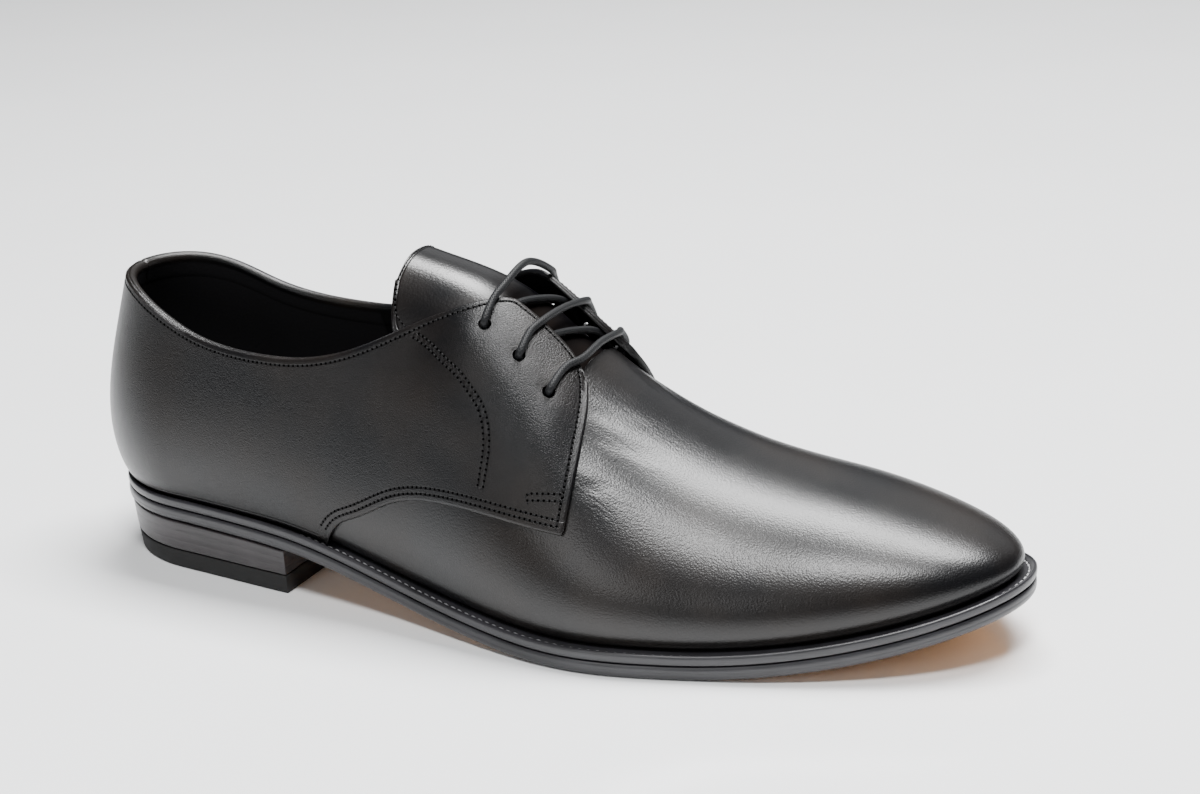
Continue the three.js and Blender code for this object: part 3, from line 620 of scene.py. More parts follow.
class Form:
    """A mesh in the making: points, faces and the material of each face."""

    def __init__(self) -> None:
        """Starts an empty form."""
        self.points: list[Array] = []
        self.faces: list[tuple[int, ...]] = []
        self.finish: list[int] = []
        self.count = 0

    def add(self, points: Array) -> Array:
        """Adds points and returns their numbers in the shape of the grid."""
        flat = points.reshape(-1, 3)
        self.points.append(flat)
        numbers = np.arange(self.count, self.count + len(flat)).reshape(points.shape[:-1])
        self.count += len(flat)
        return numbers

    def quads(self, grid: Array, finish: int = 0, closed: bool = False) -> None:
        """Adds the quads of a grid of point numbers.

        Args:
            grid: point numbers, rows by columns.
            finish: material index.
            closed: joins the last row to the first.
        """
        if closed:
            grid = np.vstack([grid, grid[:1]])
        corners = (grid[:-1, :-1], grid[1:, :-1], grid[1:, 1:], grid[:-1, 1:])
        self.faces.extend(zip(*(corner.ravel().tolist() for corner in corners)))
        self.finish.extend([finish] * corners[0].size)

    def sheet(self, outer: Array, inner: Array, finish: int, lining: int) -> tuple[Array, Array]:
        """Adds the two faces of a sheet and returns their point numbers."""
        outer_ids = self.add(outer)
        inner_ids = self.add(inner)
        self.quads(outer_ids, finish)
        self.quads(inner_ids[:, ::-1], lining)
        return outer_ids, inner_ids

    def rim(self, ids: tuple[Array, Array], faces: tuple[Array, Array], path: Array,
            finish: int, closed: bool, steps: int = 6) -> None:
        """Closes the edge of a sheet with a half round.

        Args:
            ids: point numbers of the outer and the inner face.
            faces: points of the outer and the inner face.
            path: rows and columns of the edge.
            finish: material index.
            closed: the path runs round the whole sheet.
            steps: faces across the edge.
        """
        i, j = path.T
        outer, inner = faces[0][i, j], faces[1][i, j]
        middle = (faces[0] + faces[1]) / 2
        rows, cols = middle.shape[:2]
        centre = middle[i, j]
        near = middle[np.clip(i, 1, rows - 2), np.clip(j, 1, cols - 2)]
        half = (outer - inner) / 2
        if closed:
            run = np.roll(centre, -1, axis=0) - np.roll(centre, 1, axis=0)
        else:
            run = np.gradient(centre, axis=0)
        away = centre - near
        for direction in (unit(half), unit(run)):
            away = away - direction * np.sum(away * direction, axis=-1, keepdims=True)
        away = unit(away) * np.linalg.norm(half, axis=-1, keepdims=True)
        strip = [ids[0][i, j]]
        for turn in np.linspace(0, math.pi, steps + 1)[1:-1]:
            strip.append(self.add(centre + half * math.cos(turn) + away * math.sin(turn)))
        strip.append(ids[1][i, j])
        self.quads(np.array(strip).T, finish, closed)

    def build(
        self,
        name: str,
        placing: Placing,
        materials: Sequence[Material],
        merge: float = 0.002,
        sharp: float = 40.0,
    ) -> Object:
        """Makes the object.

        Args:
            name: the object's name.
            placing: turns millimetres into the frame's metres.
            materials: materials in the order of the face indices.
            merge: points closer than this are made one, in millimetres.
            sharp: edges that turn more than this many degrees stay sharp.

        Returns:
            The object, linked to the scene, with its faces outwards.
        """
        mesh = bpy.data.meshes.new(name)
        mesh.from_pydata(placing(np.vstack(self.points)).tolist(), [], self.faces)
        mesh.polygons.foreach_set("material_index", self.finish)
        for material in materials:
            mesh.materials.append(material)
        work = bmesh.new()
        work.from_mesh(mesh)
        bmesh.ops.remove_doubles(work, verts=work.verts, dist=merge * MM)
        bmesh.ops.dissolve_degenerate(work, edges=work.edges, dist=merge * MM)
        bmesh.ops.recalc_face_normals(work, faces=work.faces)
        loose = [vertex for vertex in work.verts if not vertex.link_faces]
        bmesh.ops.delete(work, geom=loose, context="VERTS")
        work.to_mesh(mesh)
        work.free()
        mesh.shade_smooth()
        mesh.set_sharp_from_angle(angle=math.radians(sharp))
        return link(name, mesh)


def ring_path(rows: int, cols: int) -> Array:
    """Rows and columns round the edge of a grid."""
    path = [(0, j) for j in range(cols)]
    path += [(i, cols - 1) for i in range(1, rows)]
    path += [(rows - 1, j) for j in range(cols - 2, -1, -1)]
    path += [(i, 0) for i in range(rows - 2, 0, -1)]
    return np.array(path)


def link(name: str, data: bpy.types.ID) -> Object:
    """Makes an object of its data and links it to the scene."""
    made = bpy.data.objects.new(name, data)
    bpy.context.scene.collection.objects.link(made)
    return made


def apply(piece: Object) -> None:
    """Turns a piece with its modifier into a plain mesh."""
    bpy.context.view_layer.update()
    graph = bpy.context.evaluated_depsgraph_get()
    mesh = bpy.data.meshes.new_from_object(piece.evaluated_get(graph), depsgraph=graph)
    piece.modifiers.clear()
    piece.data = mesh


def store(piece: Object, name: str, values: Sequence[float]) -> None:
    """Stores one number for each point of a piece."""
    attribute = piece.data.attributes.new(name, "FLOAT", "POINT")
    attribute.data.foreach_set("value", values)


def mark_distance(piece: Object, name: str, path: Array) -> None:
    """Stores each point's distance from a path, in millimetres.

    Args:
        piece: the object.
        name: the attribute's name.
        path: close points of the path, in the frame's metres.
    """
    tree = KDTree(len(path))
    for number, point in enumerate(path):
        tree.insert(point, number)
    tree.balance()
    store(piece, name, [tree.find(vertex.co)[2] / MM for vertex in piece.data.vertices])


def dress(piece: Object, slot: Slot, nodes: Sequence[str] = ()) -> None:
    """Lets a finished piece ride on the body and stand for its nodes.

    Args:
        piece: the finished piece.
        slot: not used.
        nodes: nodes that the piece stands for.
    """
    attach(piece, BODY)
    if nodes:
        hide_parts(*nodes)
    LOG.info("%s: %d faces", piece.name, len(piece.data.polygons))


# Finishes
MATH = "ShaderNodeMath"
VECTOR_MATH = "ShaderNodeVectorMath"
RANGE = "ShaderNodeMapRange"
MIX = "ShaderNodeMix"
NOISE = "ShaderNodeTexNoise"
BUMP = "ShaderNodeBump"
ATTRIBUTE = "ShaderNodeAttribute"


def linear(colour: str) -> tuple[float, float, float, float]:
    """Linear colour of an sRGB hex value."""
    parts = [int(colour[i : i + 2], 16) / 255 for i in (1, 3, 5)]
    red, green, blue = (p / 12.92 if p <= 0.04045 else ((p + 0.055) / 1.055) ** 2.4 for p in parts)
    return red, green, blue, 1.0


class Nodes:
    """A node tree in the making."""

    def __init__(self, tree: bpy.types.NodeTree) -> None:
        """Keeps the tree."""
        self.tree = tree

    def add(self, kind: str, inputs: dict[str | int, object] | None = None,
            output: str | int = 0, **settings: object) -> Socket | None:
        """Adds a node.

        Args:
            kind: the node's type.
            inputs: a value, or another node's output, for each input.
            output: which of its outputs is wanted.
            settings: the node's own settings.

        Returns:
            The output, or None where the node has none.
        """
        node = self.tree.nodes.new(kind)
        for name, value in settings.items():
            setattr(node, name, value)
        for key, value in (inputs or {}).items():
            if isinstance(value, Socket):
                self.tree.links.new(value, node.inputs[key])
            else:
                node.inputs[key].default_value = value
        return node.outputs[output] if node.outputs else None


class Surface(Nodes):
    """Node tree of a new material, with the place in the object's own coordinates."""

    def __init__(self, name: str) -> None:
        """Makes the material of that name."""
        self.material = bpy.data.materials.new(name)
        self.material.use_nodes = True
        super().__init__(self.material.node_tree)
        self.tree.nodes.clear()
        self.place = self.add("ShaderNodeTexCoord", output="Object")

    def finish(self, inputs: dict[str | int, object]) -> Material:
        """Adds the shader with its inputs and returns the material."""
        shader = self.add("ShaderNodeBsdfPrincipled", inputs)
        self.add("ShaderNodeOutputMaterial", {"Surface": shader})
        return self.material


@dataclass(frozen=True)
class CalfLeather:
    """Full-grain calf, drum-dyed and glazed: a fine pebble that breaks up a broad soft gloss."""

    name: str
    colour: str = "#08080a"
    warm: str = "#15100d"
    roughness: float = 0.33
    gloss: float = 0.32
    coat: float = 0.3
    coat_roughness: float = 0.2
    pebble: float = 0.9  # mm, drawn coarser than the real 0.3 mm so that it shows
    relief: float = 0.05  # mm
    cloud: float = 38.0  # mm, patches of warmer dye
    groove: float = 0.5  # mm, half width of the dent that a row of stitches pulls in
    groove_depth: float = 0.12  # mm
    seams: tuple[tuple[str, float], ...] = ()  # attribute with a distance, and the row's own
    crumple: float = 0.0  # mm, fine creases that run along the vamp's break
    crumple_size: tuple[float, float, float] = (14.0, 2.0, 2.0)  # mm, along and across
    crumple_slope: float = 24.0  # degrees, as the vamp falls to the toe
    bare_painted_shade: bool = False  # unglazed where the attribute says so, its gloss and coat taken off: partly real bare leather, partly painted shade

    def make(self) -> Material:
        """Builds the node tree and returns the material."""
        surface = Surface(self.name)
        add, place = surface.add, surface.place
        cloud = add(NOISE, {"Vector": place, "Scale": 1 / (self.cloud * MM), "Detail": 3.0})
        tint = add(RANGE, {"Value": cloud, "From Min": 0.42, "From Max": 0.68})
        tones = {0: tint, 6: linear(self.colour), 7: linear(self.warm)}
        low, high = self.roughness * 0.9, self.roughness * 1.15
        spread = {"Value": cloud, "From Min": 0.35, "From Max": 0.65, "To Min": low, "To Max": high}
        cells = add("ShaderNodeTexVoronoi", {"Vector": place, "Scale": 1 / (self.pebble * MM)})
        fine = {"Vector": place, "Scale": 1.7 / (self.pebble * MM), "Detail": 2.0}
        grain = add(MATH, {0: cells, 1: -0.8, 2: add(NOISE, fine)}, operation="MULTIPLY_ADD")
        normal = add(BUMP, {"Height": grain, "Strength": 1.0, "Distance": self.relief * MM})
        if self.crumple:
            normal = self.crumpled(surface, normal)
        for seam in self.seams:
            normal = self.dented(surface, seam, normal)
        inputs = {
            "Base Color": add(MIX, tones, 2, data_type="RGBA"),
            "Roughness": add(RANGE, spread),
            "Normal": normal,
            "Coat Normal": normal,
            "IOR": 1.5,
            "Specular IOR Level": self.gloss,
            "Coat Weight": self.coat,
            "Coat Roughness": self.coat_roughness,
        }
        if self.bare_painted_shade:
            # Gloss and coat fade out where the mask says: unglazed leather under the facings, and
            # painted shade of the dark channel between them
            shade = add(ATTRIBUTE, output="Fac", attribute_name="bare_painted_shade")
            bare = {"Value": shade, "To Min": self.gloss, "To Max": 0.02}
            inputs["Specular IOR Level"] = add(RANGE, bare)
            inputs["Coat Weight"] = add(RANGE, {"Value": shade, "To Min": self.coat, "To Max": 0.0})
        return surface.finish(inputs)

    def dented(self, surface: Surface, seam: tuple[str, float],
               below: Socket) -> Socket:
        """Dents the leather along a row of stitches.

        Args:
            surface: the material's tree.
            seam: attribute with a distance in millimetres, and the distance of the row.
            below: the normal under this dent.

        Returns:
            The normal with the dent.
        """
        name, row = seam
        distance = surface.add(ATTRIBUTE, output="Fac", attribute_name=name)
        off = surface.add(MATH, {0: distance, 1: row}, operation="SUBTRACT")
        away = surface.add(MATH, {0: off}, operation="ABSOLUTE")
        rise = {"Value": away, "From Min": 0.0, "From Max": self.groove}
        height = surface.add(RANGE, rise, interpolation_type="SMOOTHSTEP")
        depth = self.groove_depth * MM
        return surface.add(
            BUMP, {"Height": height, "Strength": 1.0, "Distance": depth, "Normal": below}
        )

    def crumpled(self, surface: Surface, below: Socket) -> Socket:
        """Adds fine creases where the piece is marked for them.

        Args:
            surface: the material's tree.
            below: the normal under them.

        Returns:
            The normal with the creases.
        """
        weight = surface.add(ATTRIBUTE, output="Fac", attribute_name="break")
        turned = surface.add(
            "ShaderNodeMapping",
            {
                "Vector": surface.place,
                "Rotation": (0.0, math.radians(self.crumple_slope), 0.0),
                "Scale": tuple(size * MM for size in self.crumple_size),
            },
            vector_type="TEXTURE",
        )
        waves = {"Vector": turned, "Scale": 1.0, "Detail": 2.0, "Distortion": 0.6}
        height = surface.add(MATH, {0: surface.add(NOISE, waves), 1: weight}, operation="MULTIPLY")
        depth = self.crumple * MM
        return surface.add(
            BUMP, {"Height": height, "Strength": 1.0, "Distance": depth, "Normal": below}
        )


@dataclass(frozen=True)
class MattLeather:
    """Lining and sock leather, dyed and unglazed: no gloss, a nap that takes the light softly."""

    name: str
    colour: str = "#060607"
    heel: str = "#171618"
    roughness: float = 0.8
    spread: float = 0.1
    nap: float = 0.7  # mm, drawn coarser than the real 0.1 mm so that it shows
    relief: float = 0.06  # mm
    seam_at: float = -0.06  # metres in the frame, where the heel lining ends
    seam_half: float = 0.0004  # metres
    seam_lean: float = 0.12
    step: float = 4.0  # height of the front lining over the heel lining, in heights of the nap

    def make(self) -> Material:
        """Builds the node tree and returns the material."""
        surface = Surface(self.name)
        add, place = surface.add, surface.place
        across = add("ShaderNodeSeparateXYZ", {0: place}, 0)
        upward = add("ShaderNodeSeparateXYZ", {0: place}, 2)
        line = add(MATH, {0: upward, 1: self.seam_lean, 2: across}, operation="MULTIPLY_ADD")
        low, high = self.seam_at - self.seam_half, self.seam_at + self.seam_half
        front = add(RANGE, {"Value": line, "From Min": low, "From Max": high})
        nap = add(NOISE, {"Vector": place, "Scale": 1 / (self.nap * MM), "Detail": 4.0})
        tones = {0: front, 6: linear(self.heel), 7: linear(self.colour)}
        dye = add(MIX, tones, 2, data_type="RGBA")
        worn = add(RANGE, {"Value": nap, "To Min": 0.7, "To Max": 1.3})
        low, high = self.roughness - self.spread, self.roughness + self.spread
        height = add(MATH, {0: front, 1: self.step, 2: nap}, operation="MULTIPLY_ADD")
        return surface.finish({
            "Base Color": add(VECTOR_MATH, {0: dye, 3: worn}, operation="SCALE"),
            "Roughness": add(RANGE, {"Value": nap, "To Min": low, "To Max": high}),
            "Normal": add(BUMP, {"Height": height, "Strength": 1.0, "Distance": self.relief * MM}),
            "IOR": 1.45,
            "Specular IOR Level": 0.2,
        })


@dataclass(frozen=True)
class Layered:
    """Leather at its cut edge or its flesh side, and moulded rubber: layers, fibres and ink.

    Serves the inked edges, the stacked heel, the bare sole and the rubber top piece, which
    differ in colour, gloss and the height of their layers.
    """

    name: str
    colour: str
    other: str
    roughness: float = 0.5
    spread: float = 0.08
    coat: float = 0.0
    lift: float = 3.4  # mm between layer lines
    streak: float = 14.0  # mm along a streak
    fine: float = 0.5  # mm across a streak
    relief: float = 0.05  # mm
    lines: float = 0.0  # depth of the layer lines, as a share of the streaks' relief

    def make(self) -> Material:
        """Builds the node tree and returns the material."""
        surface = Surface(self.name)
        add, place = surface.add, surface.place
        streak = 1 / (self.streak * MM)
        scale = (streak, streak, 1 / (self.fine * MM))
        stretched = add("ShaderNodeMapping", {"Vector": place, "Scale": scale})
        streaks = add(NOISE, {"Vector": stretched, "Scale": 1.0, "Detail": 3.0})
        blotch = add(NOISE, {"Vector": place, "Scale": streak, "Detail": 4.0})
        mixed = add(MATH, {0: streaks, 1: 0.6, 2: blotch}, operation="MULTIPLY_ADD")
        tint = add(RANGE, {"Value": mixed, "From Min": 0.55, "From Max": 1.05})
        tones = {0: tint, 6: linear(self.colour), 7: linear(self.other)}
        dye = add(MIX, tones, 2, data_type="RGBA")
        upward = add("ShaderNodeSeparateXYZ", {0: place}, 2)
        turns = math.pi / (self.lift * MM)
        layer = add(MATH, {0: upward, 1: turns}, operation="MULTIPLY")
        wave = add(MATH, {0: layer}, operation="SINE")
        ridge = add(MATH, {0: wave}, operation="ABSOLUTE")
        line = add(RANGE, {"Value": ridge, "From Max": 0.3, "To Min": 1 - 0.5 * self.lines})
        height = add(MATH, {0: line, 1: 3 * self.lines, 2: streaks}, operation="MULTIPLY_ADD")
        low, high = self.roughness - self.spread, self.roughness + self.spread
        return surface.finish({
            "Base Color": add(VECTOR_MATH, {0: dye, 3: line}, operation="SCALE"),
            "Roughness": add(RANGE, {"Value": blotch, "To Min": low, "To Max": high}),
            "Normal": add(BUMP, {"Height": height, "Strength": 1.0, "Distance": self.relief * MM}),
            "IOR": 1.5,
            "Coat Weight": self.coat,
            "Coat Roughness": 0.3,
        })


@dataclass(frozen=True)
class WaxedCord:
    """Round cotton lace, braided and waxed: slanting strands under a dull wax, lighter on their crests
    as painted highlight and darker between them as painted shade.
    """

    name: str = "waxed_cotton_braided"
    colour: str = "#040405"
    # colour of the strands' crests, lighter as painted highlight; the grooves take the darker colour
    # as painted shade
    high: str = "#151618"
    strand: float = 1.1  # mm from one strand to the next, coarser than the real 0.6 mm
    strands: int = 6
    relief: float = 0.14  # mm

    def make(self) -> Material:
        """Builds the node tree, which follows the lace's own UV map, and returns the material."""
        surface = Surface(self.name)
        add = surface.add
        lace = add("ShaderNodeUVMap", uv_map="lace")
        along = add("ShaderNodeSeparateXYZ", {0: lace}, 0)
        turned = add("ShaderNodeSeparateXYZ", {0: lace}, 1)
        turns = add(MATH, {0: turned, 1: math.pi * self.strands}, operation="MULTIPLY")
        run = add(MATH, {0: along, 1: math.pi / self.strand}, operation="MULTIPLY")
        waves = []
        for sign in ("ADD", "SUBTRACT"):
            wave = add(MATH, {0: add(MATH, {0: run, 1: turns}, operation=sign)}, operation="SINE")
            waves.append(add(MATH, {0: wave}, operation="ABSOLUTE"))
        weave = add(MATH, {0: waves[0], 1: waves[1]}, operation="MAXIMUM")
        # Crests lighter than grooves: painted highlight and shade of the braid
        tones = {0: weave, 6: linear(self.colour), 7: linear(self.high)}
        return surface.finish({
            "Base Color": add(MIX, tones, 2, data_type="RGBA"),
            "Roughness": add(RANGE, {"Value": weave, "To Min": 0.75, "To Max": 0.5}),
            "Normal": add(BUMP, {"Height": weave, "Strength": 1.0, "Distance": self.relief * MM}),
            "IOR": 1.5,
            "Specular IOR Level": 0.25,
        })


@dataclass(frozen=True)
class Thread:
    """Bonded polyester thread, twisted: small round stitches with a dull gloss."""

    name: str
    colour: str
    roughness: float = 0.55
    spread: float = 0.1
    gloss: float = 0.5
    twist: float = 0.5  # mm, drawn coarser than the real 0.2 mm so that it shows

    def make(self) -> Material:
        """Builds the node tree and returns the material."""
        surface = Surface(self.name)
        add = surface.add
        size = 1 / (self.twist * MM)
        twist = add(NOISE, {"Vector": surface.place, "Scale": size, "Detail": 1.0})
        tone = add(RANGE, {"Value": twist, "To Min": 0.5, "To Max": 1.5})
        low, high = self.roughness - self.spread, self.roughness + self.spread
        dye = {0: linear(self.colour)[:3], 3: tone}
        return surface.finish({
            "Base Color": add(VECTOR_MATH, dye, operation="SCALE"),
            "Roughness": add(RANGE, {"Value": twist, "To Min": low, "To Max": high}),
            "IOR": 1.5,
            "Specular IOR Level": self.gloss,
        })


# Stitching
@dataclass(frozen=True)
class Stitch:
    """Sizes of one kind of stitch, in millimetres."""

    pitch: float = 1.65
    length: float = 1.1
    radius: float = 0.2
    rise: float = 0.04
    sink: float = 0.3
    # radius of the near-black disc that paints the shade of each needle hole
    hole: float = 0.4
    seed: int = 7


class Needle:
    """Sews rows of stitches along paths with one Geometry Nodes tree."""

    def __init__(self, thread: Material, hole: Material) -> None:
        """Builds the tree.

        Args:
            thread: material of the thread.
            hole: near-black material of the discs that paint the shade of the needle holes.
        """
        self.thread = thread
        self.hole = hole
        self.tree = bpy.data.node_groups.new("stitch_row", "GeometryNodeTree")
        panel = self.tree.interface
        panel.new_socket("Geometry", in_out="INPUT", socket_type="NodeSocketGeometry")
        for name in ("Pitch", "Length", "Radius", "Rise", "Sink", "Hole"):
            panel.new_socket(name, in_out="INPUT", socket_type="NodeSocketFloat")
        panel.new_socket("Seed", in_out="INPUT", socket_type="NodeSocketInt")
        for name in ("Thread", "Hole shade"):
            panel.new_socket(name, in_out="INPUT", socket_type="NodeSocketMaterial")
        panel.new_socket("Geometry", in_out="OUTPUT", socket_type="NodeSocketGeometry")
        self.add_nodes()

    def add_nodes(self) -> None:
        """Fills the tree: a stitch between each two needle holes of the row, and a near-black disc on
        each hole as its painted shade.
        """
        nodes = Nodes(self.tree)
        add = nodes.add
        given = self.tree.nodes.new("NodeGroupInput").outputs
        curve = add("GeometryNodeMeshToCurve", {0: given["Geometry"]})
        even = {"Curve": curve, "Length": given["Pitch"]}
        row = add("GeometryNodeResampleCurve", even, mode="LENGTH")
        up = add("GeometryNodeInputNamedAttribute", {"Name": "up"}, data_type="FLOAT_VECTOR")
        align = "FunctionNodeAlignRotationToVector"
        turned = add(align, {"Vector": add("GeometryNodeInputTangent")}, axis="X")
        upright = add(align, {"Rotation": turned, "Vector": up}, axis="Z", pivot_axis="X")
        limits = {"Min": (0.92, 0.9, 0.8), "Max": (1.05, 1.1, 1.15), "Seed": given["Seed"]}
        varied = add("FunctionNodeRandomValue", limits, data_type="FLOAT_VECTOR")
        half = add(MATH, {0: given["Length"], 1: 0.5}, operation="MULTIPLY")
        back = add(MATH, {0: half, 1: -1.0}, operation="MULTIPLY")
        down = add(MATH, {0: given["Sink"], 1: -1.0}, operation="MULTIPLY")
        twice = {0: given["Rise"], 1: 2.0, 2: given["Sink"]}
        top = add(MATH, twice, operation="MULTIPLY_ADD")
        ends = {
            "Resolution": 5,
            "Start": add("ShaderNodeCombineXYZ", {"X": back, "Z": down}),
            "Middle": add("ShaderNodeCombineXYZ", {"Z": top}),
            "End": add("ShaderNodeCombineXYZ", {"X": half, "Z": down}),
        }
        arch = add("GeometryNodeCurveQuadraticBezier", ends)
        circle = {"Resolution": 6, "Radius": given["Radius"]}
        section = add("GeometryNodeCurvePrimitiveCircle", circle)
        tube = {"Curve": arch, "Profile Curve": section, "Fill Caps": True}
        loop = add("GeometryNodeCurveToMesh", tube)
        # Near-black disc at each needle hole, which is not cut: painted shade of the hole
        ring = {"Vertices": 8, "Radius": given["Hole"]}
        disc = add("GeometryNodeMeshCircle", ring, fill_type="NGON")
        mark = {"Geometry": disc, "Name": "painted_hole_shade", "Value": True}
        painted_hole_shade = add("GeometryNodeStoreNamedAttribute", mark, data_type="BOOLEAN", domain="FACE")
        place = {"Points": row, "Instance": loop, "Rotation": upright, "Scale": varied}
        stitches = add("GeometryNodeInstanceOnPoints", place)
        step = add(MATH, {0: given["Pitch"], 1: 0.5}, operation="MULTIPLY")
        ahead = {"Instances": stitches, "Translation": add("ShaderNodeCombineXYZ", {"X": step})}
        place = {"Points": row, "Instance": painted_hole_shade, "Rotation": upright}
        both = self.tree.nodes.new("GeometryNodeJoinGeometry")
        for part in (add("GeometryNodeTranslateInstances", ahead),
                     add("GeometryNodeInstanceOnPoints", place)):
            self.tree.links.new(part, both.inputs[0])
        real = add("GeometryNodeRealizeInstances", {0: both.outputs[0]})
        sewn = add("GeometryNodeSetMaterial", {"Geometry": real, "Material": given["Thread"]})
        # The discs take the near-black finish: painted shade of the needle holes
        holes = add("GeometryNodeInputNamedAttribute", {"Name": "painted_hole_shade"}, data_type="BOOLEAN")
        dark = {"Geometry": sewn, "Selection": holes, "Material": given["Hole shade"]}
        add("NodeGroupOutput", {0: add("GeometryNodeSetMaterial", dark)})

    def sew(
        self, name: str, rows: Sequence[tuple[Array, Array]], stitch: Stitch, placing: Placing
    ) -> Object:
        """Sews rows into one piece.

        Args:
            name: the piece's name.
            rows: points and outward normals of each row, in millimetres.
            stitch: sizes of the stitches.
            placing: turns millimetres into the frame's metres.

        Returns:
            The piece, a plain mesh.
        """
        points = np.vstack([row[0] for row in rows])
        normals = np.vstack([row[1] for row in rows])
        edges: list[tuple[int, int]] = []
        start = 0
        for row in rows:
            edges += [(i, i + 1) for i in range(start, start + len(row[0]) - 1)]
            start += len(row[0])
        mesh = bpy.data.meshes.new(name)
        mesh.from_pydata(placing(points).tolist(), edges, [])
        up = mesh.attributes.new("up", "FLOAT_VECTOR", "POINT")
        up.data.foreach_set("vector", normals.ravel())
        piece = link(name, mesh)
        modifier = piece.modifiers.new("stitches", "NODES")
        modifier.node_group = self.tree
        values = {
            "Pitch": stitch.pitch * MM,
            "Length": stitch.length * MM,
            "Radius": stitch.radius * MM,
            "Rise": stitch.rise * MM,
            "Sink": stitch.sink * MM,
            "Hole": stitch.hole * MM,
            "Seed": stitch.seed,
            "Thread": self.thread,
            "Hole shade": self.hole,
        }
        for item in self.tree.interface.items_tree:
            if item.in_out == "INPUT" and item.name in values:
                modifier[item.identifier] = values[item.name]
        apply(piece)
        piece.data.shade_smooth()
        piece.data.set_sharp_from_angle(angle=math.radians(60))
        return piece


# Sole and heel
@dataclass
class Sole:
    """Outsole, welt and insole."""

    last: Last
    placing: Placing
    stations: int = 220
    across: int = 14
    ridge: float = 0.7
    sole_rows: Rows = (
        (1.9, 0.0), (1.2, 0.06), (0.6, 0.35), (0.22, 0.85), (0.05, 1.5), (0.0, 2.1),
        (0.035, 2.24), (0.035, 2.32), (0.0, 2.46), (0.0, 3.1), (0.1, 3.8), (0.35, 4.25), (0.8, 4.4),
    )
    welt_rows: Rows = (
        (0.9, 0.0), (0.3, 0.2), (0.06, 0.7), (0.0, 1.3), (0.0, 2.1), (0.08, 2.65), (0.32, 2.98),
        (0.62, 3.1), (0.95, 3.08), (1.25, 2.88), (1.5, 2.5), (1.8, 2.15), (2.4, 1.95),
        (3.0, 2.1), (3.6, 2.38), (5.0, 2.4), (14.0, 2.4), (14.0, 0.0),
    )
    sock_rows: Rows = (
        (8.0, 0.0), (0.6, 0.0), (0.15, 0.4), (0.0, 1.4), (0.35, 2.1), (1.2, 2.2),
    )
    wall: float = 1.6  # of the upper round the insole
    channel: tuple[float, float] = (2.35, 2.05)
    waist: float = 0.27

    def shares(self) -> Array:
        """Sections of the sole, closer together at its round ends."""
        turn = np.linspace(0, math.pi, self.stations)
        return self.last.length * (1 - np.cos(turn)) / 2

    def sides(self, rows: Rows, under: Along
              ) -> tuple[Array, Array]:
        """Both sides of a layer with the profile rows."""
        inset, height = np.array(rows).T
        base = self.shares()
        lateral = self.last.layer(Side.LATERAL, base, inset, height, under)
        return lateral, self.last.layer(Side.MEDIAL, base, inset, height, under)

    def plate(self, name: str, rows: Rows,
              under: Along, materials: Sequence[Material]
              ) -> Object:
        """Layer over the whole shoe.

        Args:
            name: the piece's name.
            rows: inset and height of each row of its side, from the bottom up.
            under: its underside.
            materials: its side, its underside and its top.

        Returns:
            The object.
        """
        return self.closed(*self.sides(rows, under), (1, 2)).build(name, self.placing, materials)

    def closed(self, lateral: Array, medial: Array, finishes: tuple[int, int]) -> Form:
        """Closes the two sides of a layer.

        Args:
            lateral: points of the outer side, sections by rows.
            medial: points of the inner side.
            finishes: material index of its underside and of its top.

        Returns:
            The form, with the side's material index 0.
        """
        form = Form()
        form.quads(form.add(np.concatenate([lateral, medial[::-1][1:-1]])), 0, closed=True)
        share = np.linspace(0, 1, self.across + 1)[None, :, None]
        for row, finish in zip((0, -1), finishes):
            face = lateral[:, row, None] * (1 - share) + medial[:, row, None] * share
            form.quads(form.add(face), finish)
        return form

    def outsole(self, edge: Material, leather: Material) -> Object:
        """Outsole with its two-layer inked edge."""
        materials = (edge, leather, edge)
        return self.plate("outsole_leather", self.sole_rows, self.last.under, materials)

    def insole(self, leather: Material) -> Object:
        """Insole with its sock, inside the wall.

        Args:
            leather: material of the sock.

        Returns:
            The object.
        """
        last = self.last
        insets, heights = np.array(self.sock_rows).T

        def outline(t: Array) -> Array:
            """Inset of each row inside the wall."""
            return last.margin(t) + last.tuck + self.wall + 2 * last.gap + insets[None, :]

        x = last.place(self.shares()[:, None], outline)
        height = last.feather(x) + heights
        sides = [np.stack([x, last.edge(side, x, outline), height], axis=-1) for side in Side]
        return self.closed(*sides, (0, 0)).build("insole_sock", self.placing, (leather,))

    def welt(self, edge: Material) -> Object:
        """Welt strip with its raised edge and its stitched channel.

        Args:
            edge: material of the inked leather.

        Returns:
            The object.
        """
        form = Form()
        lateral, medial = self.sides(self.welt_rows, self.last.welt_under)
        ring = np.concatenate([lateral, medial[::-1][1:-1]])
        ring = np.concatenate([ring, ring[:, :1]], axis=1)
        form.quads(form.add(ring), 0, closed=True)
        return form.build("welt_strip", self.placing, (edge,))

    def welt_seam(self) -> list[tuple[Array, Array]]:
        """Row of stitches in the welt's channel, from waist to waist round the toe."""
        base = self.shares()
        base = base[base > self.waist * self.last.length]
        inset, height = (np.array([value]) for value in self.channel)
        under = self.last.welt_under
        lateral = self.last.layer(Side.LATERAL, base, inset, height, under)[:, 0]
        medial = self.last.layer(Side.MEDIAL, base, inset, height, under)[:, 0]
        row = np.concatenate([lateral, medial[::-1][1:]])
        return [(row, np.tile([0.0, 0.0, 1.0], (len(row), 1)))]


